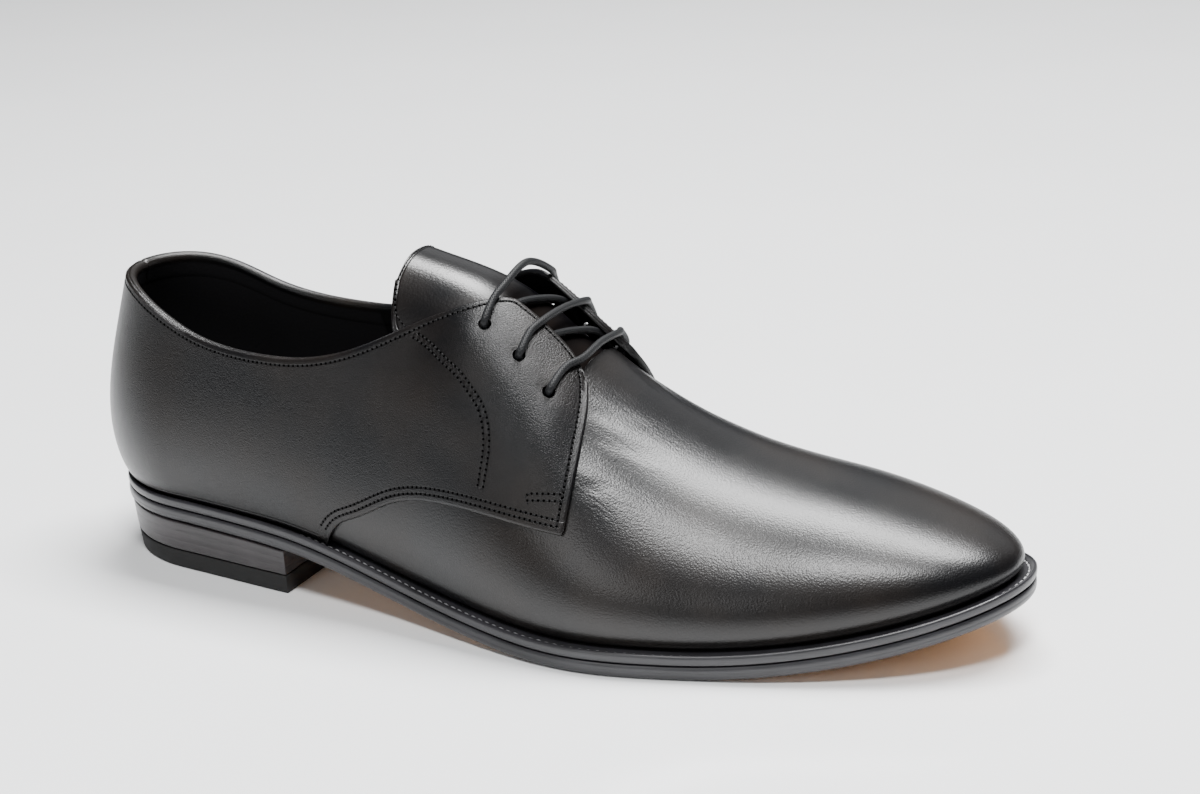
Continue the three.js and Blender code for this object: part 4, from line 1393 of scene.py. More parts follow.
@dataclass
class Heel:
    """Stacked heel and its rubber top piece."""

    last: Last
    placing: Placing
    breast: float = 0.257
    top_piece: float = 6.0
    step: float = 0.5
    draw: float = 0.8
    taper: float = 2.5
    gap: float = 0.3
    lifts: int = 3
    groove: float = 0.05
    groove_half: tuple[float, float] = (0.012, 0.035)  # half its floor and mouth, shares of the height
    foot: Rows = ((0.0, 0.7), (0.012, 0.25), (0.05, 0.02))
    head: Rows = ((0.95, 0.02), (0.988, 0.2), (1.0, 0.5))
    stations: int = 70
    across: int = 11

    def rows(self, lifts: int) -> list[tuple[float, float]]:
        """Share of the height and inset of each row of the side, with a groove between lifts."""
        floor, mouth = self.groove_half
        rows = list(self.foot)
        for lift in range(1, lifts):
            at = lift / lifts
            rows += [(at - mouth, 0.0), (at - floor, self.groove), (at + floor, self.groove),
                     (at + mouth, 0.0)]
        return rows + list(self.head)

    def slice(self, name: str, low: Along, high: Along,
              lifts: int, material: Material) -> Object:
        """Slice of the heel between two heights, drawn in towards the floor.

        Args:
            name: the piece's name.
            low: its underside.
            high: its top.
            lifts: layers in it.
            material: its finish.

        Returns:
            The object.
        """
        last = self.last
        front = self.breast * last.length
        share = 1 - np.cos(RIGHT_ANGLE * np.linspace(0, 1, self.stations))
        form = Form()
        sides = []
        for side in Side:
            rows = []
            for level, dent in self.rows(lifts):
                bottom, top = low(np.float64(front)), high(np.float64(front))
                drawn = 1 - np.clip((bottom + (top - bottom) * level) / last.heel_height, 0, 1)
                inset = self.step + self.draw * drawn
                start = self.step + self.taper * drawn + dent
                x = start + (front - dent - start) * share
                seat = inset + (front - inset) * share
                half = last.half_width(side, seat, lambda t: inset + 0 * t)
                y = last.swing(x) + side.value * np.maximum(0, half - dent * (half > dent))
                y = np.where(share <= 0, last.swing(x), y)
                rows.append(np.stack([x, y, low(x) + (high(x) - low(x)) * level], axis=-1))
            sides.append(np.stack(rows, axis=1))
        lateral, medial = sides
        form.quads(form.add(lateral))
        form.quads(form.add(medial)[:, ::-1])
        across = np.linspace(0, 1, self.across)[None, :, None]
        for line in ((slice(None), 0), (slice(None), -1), (-1, slice(None))):
            face = lateral[line][:, None] * (1 - across) + medial[line][:, None] * across
            form.quads(form.add(face))
        return form.build(name, self.placing, (material,), sharp=50)

    def rubber(self, material: Material) -> Object:
        """Rubber top piece on the floor."""
        height = self.top_piece
        return self.slice("heel_top_piece", lambda x: 0 * x, lambda x: height + 0 * x, 1, material)

    def stack(self, material: Material) -> Object:
        """Leather lifts between the top piece and the outsole."""
        low = self.top_piece + self.gap
        under = self.last.under
        return self.slice(
            "heel_lifts", lambda x: low + 0 * x, lambda x: under(x) - self.gap, self.lifts, material
        )


# Upper
@dataclass(frozen=True)
class Crease:
    """Soft trough that runs along the vamp, with a low ridge on each side of it."""

    start: float  # share of the length
    end: float
    angle: float  # where it starts
    drift: float  # how far its end lies higher
    depth: float  # mm
    width: float  # mm


@dataclass
class Upper:
    """Vamp and lining: the hollow wall of the shoe."""

    last: Last
    placing: Placing
    wall: float = 1.6
    collar_end: float = 0.478
    collar_drop: float = 2.4
    throat: tuple[float, float, float, float] = (0.4, 0.566, 0.042, 0.67)
    throat_curve: float = 3.5
    stations: int = 250
    throat_zone: float = 14.0  # mm behind the throat's front with close sections
    throat_stations: int = 26
    throat_draw: float = 2.4  # how much closer they come at the front
    levels: int = 64
    level_draw: float = 1.15
    break_at: tuple[float, float] = (0.625, 0.05)  # middle and reach, shares of the length
    break_height: tuple[float, float] = (28.0, 55.0)  # mm over the floor
    arc: float = 36.0  # mm of the vamp's surface for a radian
    shoulder: tuple[float, float] = (1.7, 0.4)  # ridge beside a crease, in its widths and depths
    crease_ends: tuple[float, float, float, float] = (-0.2, 0.3, 0.6, 1.2)  # shares of its run
    creases: tuple[Crease, ...] = (
        Crease(0.578, 0.63, 1.27, 0.22, 0.09, 1.7),
        Crease(0.586, 0.645, 1.15, 0.2, 0.12, 1.6),
        Crease(0.59, 0.665, 1.01, 0.13, 0.13, 1.9),
        Crease(0.594, 0.65, 0.89, 0.11, 0.09, 1.6),
        Crease(0.596, 0.628, 0.73, 0.11, 0.1, 1.5),
    )

    def sections(self) -> Array:
        """Sections of the wall, closer together at its ends and at the throat's front."""
        length = self.last.length
        even = length * (1 - np.cos(np.linspace(0, math.pi, self.stations))) / 2
        front = self.throat[1] * length
        near = np.linspace(0, 1, self.throat_stations) ** self.throat_draw
        throat = front - self.throat_zone * near
        return np.unique(np.round(np.concatenate([even, throat]), 4))

    def opening(self, side: Side, x: Array) -> Array:
        """Half width of the throat's opening from the middle line.

        Args:
            side: side of the foot.
            x: sections.

        Returns:
            The half widths, 0 in front of the throat.
        """
        start, end, reach = (value * self.last.length for value in self.throat[:3])
        neck = self.throat[3]
        turn = end - reach
        full = (1 - np.clip((x - turn) / reach, 0, 1) ** self.throat_curve) ** (
            1 / self.throat_curve
        )
        wide = neck + (1 - neck) * np.clip((x - start) / (turn - start), 0, 1)
        return THROAT_HALF[side] * full * wide

    def top(self, side: Side, base: Array) -> Array:
        """Angles of the wall's upper edge, a right angle where it is closed."""
        last = self.last
        collar = last.angle_over(side, base, lambda x: last.topline(x) - self.collar_drop, 0.0)
        collar = np.where(base < self.collar_end * last.length, collar, RIGHT_ANGLE)
        throat = last.angle_away(side, base, self.opening(side, base), 0.0)
        inside = (base > self.throat[0] * last.length) & (base < self.throat[1] * last.length)
        return np.minimum(collar, np.where(inside, throat, RIGHT_ANGLE))

    def relief(self, base: Array, angle: Array) -> Array:
        """Height of the creases of the vamp."""
        total = np.zeros(np.broadcast(base, angle).shape)
        place, height = self.shoulder
        start, full, fade, end = self.crease_ends
        for crease in self.creases:
            t = (base / self.last.length - crease.start) / (crease.end - crease.start)
            line = crease.angle + crease.drift * np.clip(t, 0, 1)
            off = (angle - line) * self.arc / crease.width
            wave = -np.exp(-(off**2))
            for shoulder in (-place, place):
                wave = wave + height * np.exp(-((off - shoulder) ** 2))
            ends = smooth(start, full, t) * (1 - smooth(fade, end, t))
            total = total + crease.depth * wave * ends
        return total

    def build(self, calf: Material, lining: Material) -> Object:
        """Builds the wall.

        Args:
            calf: material of the outside.
            lining: material of the inside.

        Returns:
            The object.
        """
        last = self.last
        form = Form()
        base = self.sections()
        level = np.linspace(0, 1, self.levels) ** self.level_draw
        open_count = int(np.sum(base < self.throat[1] * last.length - 1e-6))
        for side in Side:
            angle = self.top(side, base)[:, None] * level[None, :]
            grid = np.broadcast_to(base[:, None], angle.shape)
            outer = last.skin(side, grid, angle, self.relief(grid, angle))
            inner = last.skin(side, grid, angle, -self.wall)
            ids = form.sheet(outer, inner, 0, 1)
            count = len(base)
            top = np.array([(i, self.levels - 1) for i in range(open_count + 1)])
            low = np.array([(i, 0) for i in range(count)])
            form.rim(ids, (outer, inner), top, 0, closed=False)
            form.rim(ids, (outer, inner), low, 0, closed=False, steps=3)
        piece = form.build("upper_wall", self.placing, (calf, lining))
        self.mark_break(piece)
        return piece

    def mark_break(self, piece: Object) -> None:
        """Marks where the vamp creases finely, behind the ball and high on the vamp."""
        points = self.placing.back(np.array([vertex.co for vertex in piece.data.vertices]))
        share = points[:, 0] / self.last.length
        middle, reach = self.break_at
        along = np.exp(-(((share - middle) / reach) ** 2))
        weight = along * smooth(*self.break_height, points[:, 2])
        store(piece, "break", weight)


@dataclass
class Quarter:
    """Quarter with its facing, from the back seam to the front edge over the vamp."""

    last: Last
    placing: Placing
    side: Side
    thickness: float = 1.5
    collar_inner: float = -1.75
    facing_inner: float = -0.35
    collar_drop: float = 1.7
    corner: float = 0.05
    seam_half: float = 0.9
    eyelet_edge: float = 8.5
    eyelet_radius: float = 1.95
    dent: float = 0.35
    dent_reach: float = 2.6
    facing_zone: tuple[float, float] = (0.42, 0.47)  # where the collar passes into the facing
    facing_band: tuple[float, float] = (0.6, 0.8)  # shares of the quarter's height
    collar_band: tuple[float, float] = (0.8, 0.93)
    free_zone: tuple[float, float] = (0.37, 0.43)  # where the free edge takes over
    topline_end: float = 0.5
    columns: int = 190
    rows: int = 70
    split: int = 6
    stitch_in: float = 1.3
    second_in: float = 3.2
    stay: Rows = (
        (0.404, 0.868), (0.43, 0.848), (0.452, 0.817), (0.471, 0.798), (0.486, 0.77),
        (0.497, 0.745), (0.504, 0.705), (0.508, 0.646), (0.508, 0.581), (0.5065, 0.519),
        (0.5055, 0.475),
    )
    stay_gap: float = 1.9
    stay_clear: float = 0.045
    tack: Rows = ((0.556, 0.105), (0.5895, 0.15))
    tack_gap: float = 2.0
    tack_points: int = 24
    seam_start: float = 0.02  # share of the length where the row of the topline starts
    seam_low: float = 0.04  # radians over the welt where the lower rows start

    def __post_init__(self) -> None:
        """Works out the facing's edge from its table."""
        last = self.last
        rows = np.stack(
            [FACING_EDGE["at"] * last.length, FACING_EDGE["out"] * last.facing_gap], axis=-1
        )
        steps = 12
        curve = catmull_rom(rows, steps)
        self.free = curve[: self.split * steps + 1]
        self.front = curve[self.split * steps :]
        self.out = last.gap + self.thickness
        self.lift = last.facing_lift

    def top(self, base: Array) -> Array:
        """Angles of the topline and the free edge, run together in a round corner."""
        last = self.last
        drop = self.collar_drop
        line = last.angle_over(
            self.side, base, lambda x: last.topline(x) - drop, self.out, self.lift
        )
        line = np.where(base > self.topline_end * last.length, RIGHT_ANGLE, line)
        away = np.interp(base, *self.free.T)
        edge = last.angle_away(self.side, base, away, self.out, self.lift)
        edge = edge + RIGHT_ANGLE * (1 - smooth(*self.free_zone, base / last.length))
        soft = self.corner
        return -soft * np.log(np.exp(-line / soft) + np.exp(-edge / soft))

    def low(self, base: Array) -> Array:
        """Angles of the lower edge, 0 where the quarter runs down to the welt."""
        edge = self.last.quarter_edge
        angle = self.last.angle_over(self.side, base, edge, self.out, self.lift)
        return np.where(base < QUARTER_EDGE["at"][0] * self.last.length, 0, angle)

    def front_place(self, share: Array) -> Array:
        """Sections of the front edge at shares of its height."""
        last = self.last
        x = np.full_like(share, self.front[-1, 0])
        for _ in range(12):
            low = self.low(x)
            angle = low + (self.top(x) - low) * share
            y = last.skin(self.side, x, angle, self.out, self.lift)[..., 1]
            away = self.side.value * (y - last.middle(x))
            x = np.interp(away, self.front[:, 1], self.front[:, 0])
        return x

    def grid(self) -> tuple[Array, Array]:
        """Sections and angles of the grid, rows from the lower edge up."""
        share = np.linspace(0, 1, self.rows)
        reach = self.front_place(share)
        turn = 1 - np.cos(RIGHT_ANGLE * np.linspace(0, 1, self.columns))
        even = np.linspace(0, 1, self.columns)
        along = 0.5 * turn + 0.5 * even**1.6
        first = self.seam_half**2 / 60 / self.last.length
        along = first + (1 - first) * along
        base = reach[:, None] * along[None, :]
        low = self.low(base)
        angle = low + (self.top(base) - low) * share[:, None]
        return base, angle

    def eyelets_away(self) -> Array:
        """Distances of the eyelets from the middle line."""
        name = "outer" if self.side is Side.LATERAL else "inner"
        return self.last.facing_gap + self.eyelet_edge * EYELETS[name]

    def eyelets(self) -> list[tuple[Array, Array]]:
        """Place and outward normal of each eyelet, on the middle of the facing."""
        out = self.last.gap + self.thickness / 2
        found = []
        for share, away in zip(EYELETS["at"], self.eyelets_away()):
            base = np.array([share * self.last.length])
            angle = self.last.angle_away(self.side, base, np.array([away]), out)
            place = self.last.skin(self.side, base, angle, out, self.lift)[0]
            normal = self.last.frame(self.side, base, angle, out, self.lift)[2][0]
            found.append((place, normal))
        return found

    def build(self, calf: Material, lining: Material) -> Object:
        """Builds the quarter.

        Args:
            calf: material of the outside and the edges.
            lining: material of the inside.

        Returns:
            The object.
        """
        last = self.last
        base, angle = self.grid()
        plain = last.skin(self.side, base, angle, self.out, self.lift)
        out = np.full(base.shape, self.out)
        for place, _ in self.eyelets():
            away = np.linalg.norm(plain - place, axis=-1)
            out = out - self.dent * np.exp(-((away / self.dent_reach) ** 2))
        outer = last.skin(self.side, base, angle, out, self.lift)
        level = np.linspace(0, 1, self.rows)[:, None]
        share = base / last.length
        zone = smooth(*self.facing_zone, share)
        collar = smooth(*self.collar_band, level) * (1 - zone)
        facing = zone * smooth(*self.facing_band, level)
        under = self.collar_inner * collar + self.facing_inner * facing
        inner = last.skin(self.side, base, angle, under, self.lift)
        form = Form()
        ids = form.sheet(outer, inner, 0, 1)
        form.rim(ids, (outer, inner), ring_path(*base.shape), 0, closed=True)
        piece = form.build(f"quarter_{self.side.name.lower()}_calf", self.placing, (calf, lining))
        self.punch(piece)
        ring = outer[tuple(ring_path(*base.shape).T)]
        mark_distance(piece, "edge", self.placing(ring))
        mark_distance(piece, "low_edge", self.placing(outer[0]))
        mark_distance(piece, "stay_line", self.placing(self.stay_row(0.0)[0]))
        return piece

    def punch(self, piece: Object) -> None:
        """Cuts the eyelets through the facing."""
        work = bmesh.new()
        for place, normal in self.eyelets():
            turn = Vector((0, 0, 1)).rotation_difference(Vector(normal)).to_matrix().to_4x4()
            bmesh.ops.create_cone(
                work,
                cap_ends=True,
                segments=24,
                radius1=self.eyelet_radius * MM,
                radius2=self.eyelet_radius * MM,
                depth=9 * self.thickness * MM,
                matrix=Matrix.Translation(self.placing(place)) @ turn,
            )
        mesh = bpy.data.meshes.new("punch")
        work.to_mesh(mesh)
        work.free()
        tool = link("punch", mesh)
        cut = piece.modifiers.new("punch", "BOOLEAN")
        cut.object = tool
        cut.operation = "DIFFERENCE"
        cut.solver = "EXACT"
        apply(piece)
        bpy.data.objects.remove(tool)

    def row(self, base: Array, angle: Array, distance: float) -> tuple[Array, Array]:
        """Points and normals of a row of stitches beside a path.

        Args:
            base: sections of the path.
            angle: angles of the path.
            distance: how far the row lies to the left of the path.

        Returns:
            Points and outward normals.
        """
        last, side = self.last, self.side
        if distance:
            base, angle = last.inside(side, base, angle, distance, self.out, self.lift)
        points = last.skin(side, base, angle, self.out + PROUD, self.lift)
        return points, last.frame(side, base, angle, self.out, self.lift)[2]

    def stay_row(self, distance: float) -> tuple[Array, Array]:
        """Row beside the line of the facing's stay."""
        base, angle = catmull_rom(np.array(self.stay) * (self.last.length, 1), 10).T
        if distance:
            base, angle = self.last.inside(self.side, base, angle, distance, self.out, self.lift)
        keep = angle < self.top(base) - self.stay_clear
        return self.row(base[keep], angle[keep], 0.0)

    def tack_row(self) -> tuple[Array, Array]:
        """Closed row of the bar tack at the lower corner."""
        (start, low), (end, high) = self.tack
        x = np.linspace(start, end, self.tack_points) * self.last.length
        angle = self.low(x) + np.linspace(low, high, self.tack_points)
        points, normals = self.row(x, angle, -self.tack_gap / 2)
        others, others_up = self.row(x, angle, self.tack_gap / 2)
        ring = np.concatenate([points, others[::-1], points[:1]])
        return ring, np.concatenate([normals, others_up[::-1], normals[:1]])

    def seams(self) -> list[tuple[Array, Array]]:
        """All rows of stitches of the quarter."""
        base, angle = self.grid()
        inward = self.side.value
        edge = np.concatenate([
            np.stack([base[-1], angle[-1]], axis=-1),
            np.stack([base[::-1, -1], angle[::-1, -1]], axis=-1)[1:],
        ])
        start = int(np.argmax(edge[:, 0] > self.seam_start * self.last.length))
        edge = edge[start:-2]
        rows = [self.row(edge[:, 0], edge[:, 1], inward * self.stitch_in)]
        lower = np.stack([base[0], angle[0]], axis=-1)
        lower = lower[angle[0] > self.seam_low][:-2]
        for distance in (self.stitch_in, self.second_in):
            rows.append(self.row(lower[:, 0], lower[:, 1], -inward * distance))
        for distance in (-self.stay_gap / 2, self.stay_gap / 2):
            rows.append(self.stay_row(distance))
        rows.append(self.tack_row())
        return rows


@dataclass
class Tongue:
    """Tongue under the facings, with its top standing over them."""

    last: Last
    placing: Placing
    out: float = -3.3
    thickness: float = 1.8
    stitch_in: float = 1.0
    # Where the tongue's gloss fades out, shares of the length: unglazed under the facings, and painted
    # shade of the channel between them
    shade: tuple[float, float] = (0.445, 0.485)
    seam_end: float = 0.75  # share of the rows
    rows: int = 120
    across: int = 25

    def grid(self) -> tuple[Array, Array, Array]:
        """Sides, sections and angles of the tongue's points, rows from the top to the toe."""
        last = self.last
        at = TONGUE_WIDTH["at"] * last.length
        base = at[0] + (at[-1] - at[0]) * np.linspace(0, 1, self.rows) ** 1.5
        share = np.linspace(-1, 1, 2 * self.across + 1)
        angle = np.zeros((self.rows, len(share)))
        for side in Side:
            half = last.along(TONGUE_WIDTH, "half", THROAT_HALF[side])(base)
            mine = share * side.value > 0
            away = np.abs(share[mine])[None, :] * half[:, None]
            section = np.broadcast_to(base[:, None], away.shape)
            angle[:, mine] = last.angle_away(side, section, away, self.out)
        angle[:, self.across] = RIGHT_ANGLE
        return share, base, angle

    def surface(self, share: Array, base: Array, angle: Array, out: float) -> Array:
        """Points of the tongue at a distance outside the last."""
        section = np.broadcast_to(base[:, None], angle.shape)
        lateral = self.last.skin(Side.LATERAL, section, angle, out)
        medial = self.last.skin(Side.MEDIAL, section, angle, out)
        return np.where(share[None, :, None] < 0, lateral, medial)

    def build(self, calf: Material, lining: Material) -> Object:
        """Builds the tongue.

        Args:
            calf: material of the outside.
            lining: material of the inside.

        Returns:
            The object.
        """
        grid = self.grid()
        outer = self.surface(*grid, self.out)
        inner = self.surface(*grid, self.out - self.thickness)
        form = Form()
        ids = form.sheet(outer, inner, 0, 1)
        path = ring_path(*outer.shape[:2])
        form.rim(ids, (outer, inner), path, 0, closed=True)
        piece = form.build("tongue_calf", self.placing, (calf, lining))
        mark_distance(piece, "edge", self.placing(outer[tuple(path.T)]))
        points = self.placing.back(np.array([vertex.co for vertex in piece.data.vertices]))
        # Mask of the bare leather under the facings, which also paints the shade of the channel
        # between them
        start, end = self.shade
        store(piece, "bare_painted_shade", smooth(start, end, points[:, 0] / self.last.length))
        return piece

    def seam(self) -> list[tuple[Array, Array]]:
        """Row of stitches inside the tongue's edge."""
        share, base, angle = self.grid()
        points = self.surface(share, base, angle, self.out + PROUD)
        inner = self.surface(share, base, angle, self.out - 1)
        up = unit(points - inner)
        count = len(share)
        step = np.linalg.norm(np.diff(points, axis=0), axis=-1).mean(axis=1)
        first = int(np.argmax(np.cumsum(step) > self.stitch_in)) + 1
        last_row = int(self.seam_end * self.rows)
        path = [(i, 2) for i in range(last_row, first, -1)]
        path += [(first, j) for j in range(2, count - 2)]
        path += [(i, count - 3) for i in range(first + 1, last_row)]
        i, j = np.array(path).T
        return [(points[i, j], up[i, j])]


@dataclass
class Laces:
    """One lace through all eyelets: bars outside, slanting strands inside."""

    last: Last
    placing: Placing
    quarters: dict[Side, Quarter]
    diameter: float = 2.3
    clear: float = 0.3
    under: float = 1.3
    rise: float = 1.0
    hidden: float = 1.1
    dip: float = 1.6
    strand: float = 0.55  # an inner strand's points, shares of the way to the eyelets
    lean: Rows = ((0.004, 0.011), (0.008, 0.011), (0.014, 0.012))
    sides: int = 16
    steps: int = 12

    def over(self, side: Side, x: float, away: float, out: float) -> Array:
        """Point at a distance from the middle line, outside the last where the facings lift."""
        at = np.array([x])
        angle = np.array([RIGHT_ANGLE])
        if away >= 1:
            angle = self.last.angle_away(side, at, np.array([away]), out)
        return self.last.skin(side, at, angle, out, self.last.facing_lift)[0]

    def route(self) -> Array:
        """Points of the lace from its hidden start to its end at the top eyelet."""
        gap = self.last.facing_gap
        x = EYELETS["at"] * self.last.length
        away = {side: quarter.eyelets_away() for side, quarter in self.quarters.items()}
        holes = {side: quarter.eyelets() for side, quarter in self.quarters.items()}
        half = (self.quarters[Side.LATERAL].thickness + self.diameter) / 2
        rise, sink = half + self.clear, half + self.under
        middle = self.last.gap + half - self.diameter / 2
        above, below = middle + rise, middle - sink
        route = [
            self.over(Side.LATERAL, x[row], self.hidden * away[Side.LATERAL][row],
                      below - self.clear)
            for row in (0, 1)
        ]
        for row in (2, 1, 0):
            climbs, stands = [], []
            for side, lean in zip(Side, self.lean[row]):
                place, normal = holes[side][row]
                stands.append(place + np.outer([-sink, 0, rise], normal))
                ahead = lean * self.last.length
                climbs.append([
                    self.over(side, x[row] + ahead / 2, (away[side][row] + gap) / 2, above),
                    self.over(side, x[row] + ahead, gap, above),
                ])
            near, far = climbs
            top = (near[1] + far[1]) / 2
            top[2] += self.rise * EYELETS["rise"][row]
            route += [*stands[0], *near, top, *far[::-1], *stands[1][::-1]]
            for share in (-self.strand, 0.0, self.strand) if row else ():
                side, start = (Side.MEDIAL, row) if share < 0 else (Side.LATERAL, row - 1)
                along = x[row] + (x[row - 1] - x[row]) * (share + 1) / 2
                dip = self.dip if share == 0 else 0.0
                route.append(self.over(side, along, abs(share) * away[side][start], below - dip))
        return np.array(route)

    def line(self) -> Array:
        """Smooth centre line of the lace, centripetal so that tight bends don't loop."""
        points = self.route()
        ends = [2 * points[0] - points[1]], [2 * points[-1] - points[-2]]
        points = np.concatenate([ends[0], points, ends[1]])
        t = (np.arange(self.steps) / self.steps)[:, None]
        rows = []
        for i in range(len(points) - 3):
            a, b, c, d = points[i : i + 4]
            spans = ((a, b), (b, c), (c, d))
            before, here, after = (np.sqrt(np.linalg.norm(q - p)) for p, q in spans)
            leave = ((b - a) / before - (c - a) / (before + here) + (c - b) / here) * here
            arrive = ((c - b) / here - (d - b) / (here + after) + (d - c) / after) * here
            rows.append(
                b + leave * t + (3 * (c - b) - 2 * leave - arrive) * t**2
                + (leave + arrive - 2 * (c - b)) * t**3
            )
        return np.vstack([*rows, points[-2:-1]])

    def build(self, cord: Material) -> Object:
        """Builds the lace as a tube with its own UV map: millimetres along, turns round.

        Args:
            cord: its finish.

        Returns:
            The object.
        """
        line = self.line()
        run = unit(np.gradient(line, axis=0))
        side = np.zeros_like(line)
        side[0] = unit(np.cross(run[0], [0, 0, 1.0]))
        for i in range(1, len(line)):
            side[i] = unit(side[i - 1] - run[i] * np.dot(side[i - 1], run[i]))
        other = np.cross(run, side)
        turn = np.linspace(0, 2 * math.pi, self.sides + 1)[:-1]
        ring = (
            line[:, None]
            + self.diameter / 2 * (side[:, None] * np.cos(turn)[None, :, None]
                                   + other[:, None] * np.sin(turn)[None, :, None])
        )
        form = Form()
        ids = form.add(ring)
        form.quads(ids.T, 0, closed=True)
        for end in (0, -1):
            tip = form.add(line[end][None])[0]
            loop = ids[end]
            for j in range(self.sides):
                form.faces.append((int(loop[j]), int(loop[(j + 1) % self.sides]), int(tip)))
                form.finish.append(0)
        piece = form.build("lace_cord", self.placing, (cord,), sharp=70)
        self.unwrap(piece, line, side, other)
        length = np.linalg.norm(np.diff(line, axis=0), axis=1).sum()
        LOG.info("lace: %.0f mm long", length)
        return piece

    def unwrap(self, piece: Object, line: Array, side: Array, other: Array) -> None:
        """Lays the UV map that the braid follows.

        Args:
            piece: the lace.
            line: its centre line.
            side: a direction across it at each point.
            other: the direction across both.
        """
        place = np.concatenate([[0], np.cumsum(np.linalg.norm(np.diff(line, axis=0), axis=1))])
        points = self.placing.back(np.array([vertex.co for vertex in piece.data.vertices]))
        tree = KDTree(len(line))
        for number, point in enumerate(line):
            tree.insert(point, number)
        tree.balance()
        near = np.array([tree.find(point)[1] for point in points])
        off = points - line[near]
        turn = np.arctan2(
            np.sum(off * other[near], axis=1), np.sum(off * side[near], axis=1)
        ) / (2 * math.pi)
        layer = piece.data.uv_layers.new(name="lace")
        for polygon in piece.data.polygons:
            corners = [piece.data.loops[i].vertex_index for i in polygon.loop_indices]
            turns = turn[corners]
            if turns.max() - turns.min() > 0.5:
                turns = np.where(turns < 0, turns + 1, turns)
            for loop, corner, value in zip(polygon.loop_indices, corners, turns):
                layer.data[loop].uv = (place[near[corner]], value)


# Studio
@dataclass(frozen=True)
class View:
    """Camera at the photo's angle."""

    azimuth: float = 26.0
    elevation: float = 19.3
    roll: float = -2.3
    distance: float = 0.693
    target: tuple[float, float, float] = (0.0202, 0.0041, 0.0632)
    focal_pixels: float = 2290.0
    width_pixels: float = 1200.0
    sensor: float = 36.0

    def make(self) -> None:
        """Adds the camera and makes it the scene's own."""
        a, e, r = (math.radians(v) for v in (self.azimuth, self.elevation, self.roll))
        back = Vector((math.sin(a) * math.cos(e), -math.cos(a) * math.cos(e), math.sin(e)))
        right = Vector((math.cos(a), math.sin(a), 0))
        up = back.cross(right)
        data = bpy.data.cameras.new("photo_camera")
        data.sensor_width = self.sensor
        data.lens = self.focal_pixels / self.width_pixels * self.sensor
        data.clip_start = 0.01
        camera = link("photo_camera", data)
        turned = (right * math.cos(r) + up * math.sin(r), up * math.cos(r) - right * math.sin(r))
        camera.matrix_world = Matrix.Translation(
            Vector(self.target) + back * self.distance
        ) @ Matrix((*turned, back)).transposed().to_4x4()
        bpy.context.scene.camera = camera


@dataclass(frozen=True)
class SoftBox:
    """Area light that looks at the shoe."""

    name: str
    place: tuple[float, float, float]
    size: tuple[float, float]
    power: float
    target: tuple[float, float, float] = (0.0, 0.0, 0.04)

    def make(self) -> None:
        """Adds the light."""
        data = bpy.data.lights.new(self.name, "AREA")
        data.shape = "RECTANGLE"
        data.size, data.size_y = self.size
        data.energy = self.power
        light = link(self.name, data)
        aim = Vector(self.target) - Vector(self.place)
        light.matrix_world = (
            Matrix.Translation(self.place) @ aim.to_track_quat("-Z", "Y").to_matrix().to_4x4()
        )


@dataclass(frozen=True)
class Studio:
    """Pale floor, pale surroundings and soft lights."""

    floor: str = "#f2f3f4"
    roughness: float = 0.14
    surround: str = "#d9dde2"
    strength: float = 0.08
    half: float = 8.0
    lights: tuple[SoftBox, ...] = (
        SoftBox("ceiling_back", (0.1, 0.62, 1.9), (1.5, 0.7), 130.0),
        SoftBox("ceiling_front", (0.38, -0.72, 1.85), (0.5, 0.4), 38.0),
        SoftBox("window_front", (-0.3, -2.1, 0.95), (1.2, 0.9), 13.0),
        SoftBox("wall_behind", (0.1, 2.4, 1.3), (2.6, 0.9), 5.0),
    )

    def make(self) -> None:
        """Adds the floor, the world and the lights."""
        surface = Surface("pale_floor_polished")
        cloud = surface.add(NOISE, {"Vector": surface.place, "Scale": 9.0, "Detail": 3.0})
        tone = surface.add(RANGE, {"Value": cloud, "To Min": 0.97, "To Max": 1.03})
        dye = {0: linear(self.floor)[:3], 3: tone}
        material = surface.finish({
            "Base Color": surface.add(VECTOR_MATH, dye, operation="SCALE"),
            "Roughness": self.roughness,
        })
        form = bmesh.new()
        bmesh.ops.create_grid(form, x_segments=1, y_segments=1, size=self.half)
        mesh = bpy.data.meshes.new("floor")
        form.to_mesh(mesh)
        form.free()
        mesh.materials.append(material)
        link("floor", mesh)
        world = bpy.data.worlds.new("pale_room")
        world.use_nodes = True
        sky = world.node_tree.nodes["Background"]
        sky.inputs["Color"].default_value = linear(self.surround)
        sky.inputs["Strength"].default_value = self.strength
        bpy.context.scene.world = world
        for light in self.lights:
            light.make()


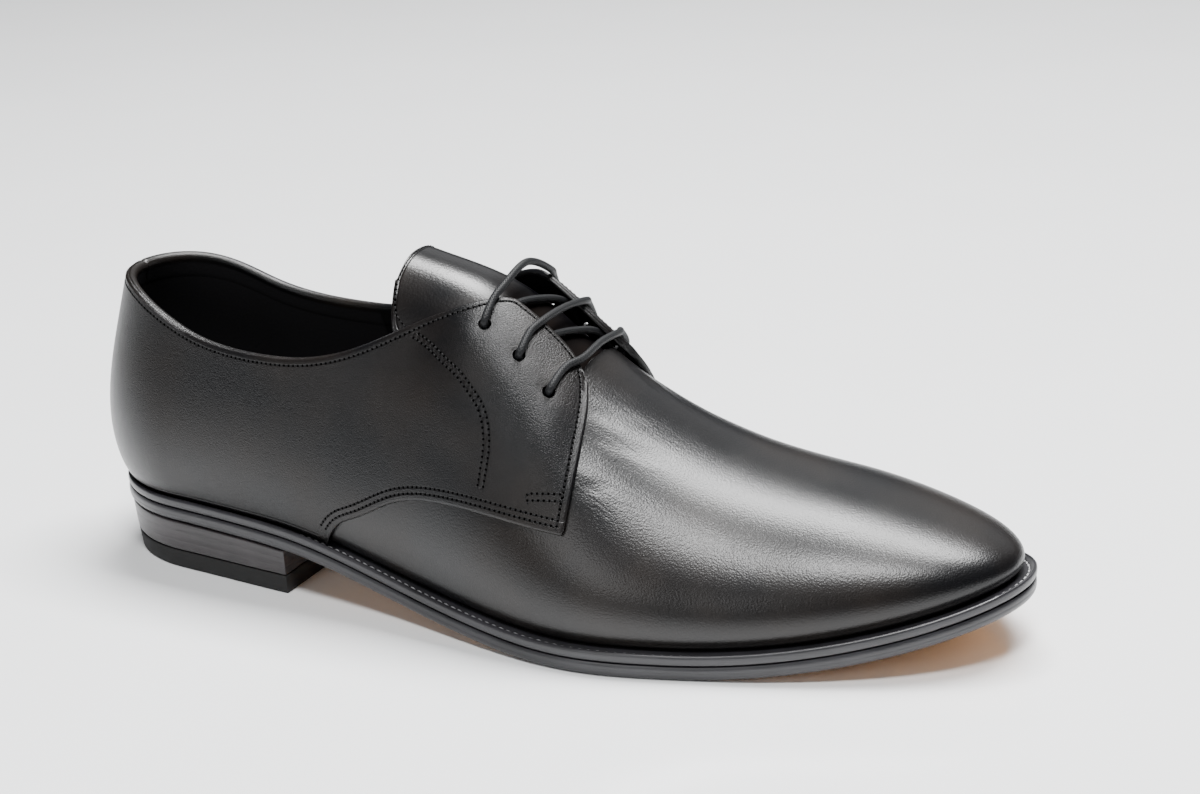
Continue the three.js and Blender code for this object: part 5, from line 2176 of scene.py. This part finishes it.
def main() -> None:
    """Builds the shoe piece by piece around its frame."""
    logging.basicConfig(level=logging.INFO, format="%(name)s %(message)s")
    View().make()
    Studio().make()
    low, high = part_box("outsole")
    last = Last(length=(high.x - low.x) / MM)
    placing = Placing(last, low)

    # Glazed calf of the vamp: deep black with broad soft lights, finely creased behind the ball
    vamp_calf = CalfLeather("black_calf_glazed_vamp", crumple=0.09, pebble=0.6, relief=0.04).make()
    # Glazed calf of the quarters: more grain, so that the light breaks up into fine sparks
    quarter_calf = CalfLeather(
        "black_calf_glazed_quarter", pebble=0.42, relief=0.075, roughness=0.34, gloss=0.27, coat=0.2,
        seams=(("edge", Quarter.stitch_in), ("low_edge", Quarter.second_in),
               ("stay_line", Quarter.stay_gap / 2)),
    ).make()
    # Glazed calf of the tongue: bright at its top, bare where the facings cover it, its gloss taken
    # off there as painted shade of the channel between them
    tongue_calf = CalfLeather(
        "black_calf_glazed_tongue", roughness=0.3, relief=0.03, bare_painted_shade=True,
        seams=(("edge", Tongue.stitch_in),),
    ).make()
    # Unglazed lining: swallows the light inside, a little greyer at the heel
    lining = MattLeather("lining_calf_unglazed").make()
    # Unglazed sock: the dark bed of the foot
    sock = MattLeather("sock_leather_unglazed", heel="#1b1a1b").make()
    # Inked and burnished edges: dark satin bands round the shoe, with a sheen on their bevels
    edge = Layered(
        "sole_edge_inked_burnished", "#1a1a1c", "#2b2a2e", roughness=0.38, coat=0.2
    ).make()
    # Bark-tanned sole: the warm tan that the floor mirrors under the waist and the toe
    sole_leather = Layered(
        "sole_leather_oak_bark_tanned", "#a8794f", "#c49562", roughness=0.5, fine=2.0, relief=0.03
    ).make()
    # Inked heel lifts: brown-black with faint level lines
    lifts = Layered(
        "heel_stack_inked", "#242122", "#3b3638", roughness=0.4, coat=0.15, lines=0.2, fine=0.35
    ).make()
    # Moulded rubber: the dull dark tread of the heel
    rubber = Layered(
        "heel_rubber_moulded", "#121212", "#1a1919", roughness=0.75, fine=1.2, streak=4.0
    ).make()
    # Bonded thread: small dark beads along the seams
    thread = Thread("polyester_thread_bonded", "#0b0b0c", 0.65, gloss=0.25).make()
    # Needle holes: near-black discs on the uncut leather, painted shade of the holes, the dark dots
    # that set the stitches apart
    hole = Thread("needle_hole_painted_shade", "#010101", 0.9, gloss=0.0).make()
    # Linen thread: the grey dots in the channel of the welt
    welt_thread = Thread("linen_thread_waxed", "#8a8a8c", 0.6).make()
    # Waxed cotton: a dull charcoal cord with a fine braid, its crests painted lighter and its grooves
    # darker as painted highlight and shade
    cord = WaxedCord().make()

    sole = Sole(last, placing)
    dress(sole.outsole(edge, sole_leather), Slot.SOLE, ["outsole"])
    dress(sole.welt(edge), Slot.EDGE, ["welt"])
    dress(sole.insole(sock), Slot.INSOLE, ["insole"])
    welt_needle = Needle(welt_thread, hole)
    welt_stitch = Stitch(pitch=2.7, length=1.9, radius=0.3, rise=0.1, hole=0.4, seed=3)
    dress(welt_needle.sew("welt_stitches", sole.welt_seam(), welt_stitch, placing), Slot.EDGE)
    heel = Heel(last, placing)
    dress(heel.rubber(rubber), Slot.RUBBER, ["top_piece"])
    dress(heel.stack(lifts), Slot.STACK, ["heel_stack"])

    dress(Upper(last, placing).build(vamp_calf, lining), Slot.UPPER, ["upper"])
    needle = Needle(thread, hole)
    quarters = {side: Quarter(last, placing, side) for side in Side}
    for side, quarter in quarters.items():
        name = f"quarter_{side.name.lower()}"
        dress(quarter.build(quarter_calf, lining), Slot.UPPER, [name])
        stitches = needle.sew(f"{name}_stitches", quarter.seams(), Stitch(), placing)
        dress(stitches, Slot.UPPER)
    tongue = Tongue(last, placing)
    dress(tongue.build(tongue_calf, lining), Slot.UPPER, ["tongue"])
    dress(needle.sew("tongue_stitches", tongue.seam(), Stitch(), placing), Slot.UPPER)
    dress(Laces(last, placing, quarters).build(cord), Slot.LACE, ["laces"])


if __name__ == "__main__":
    main()
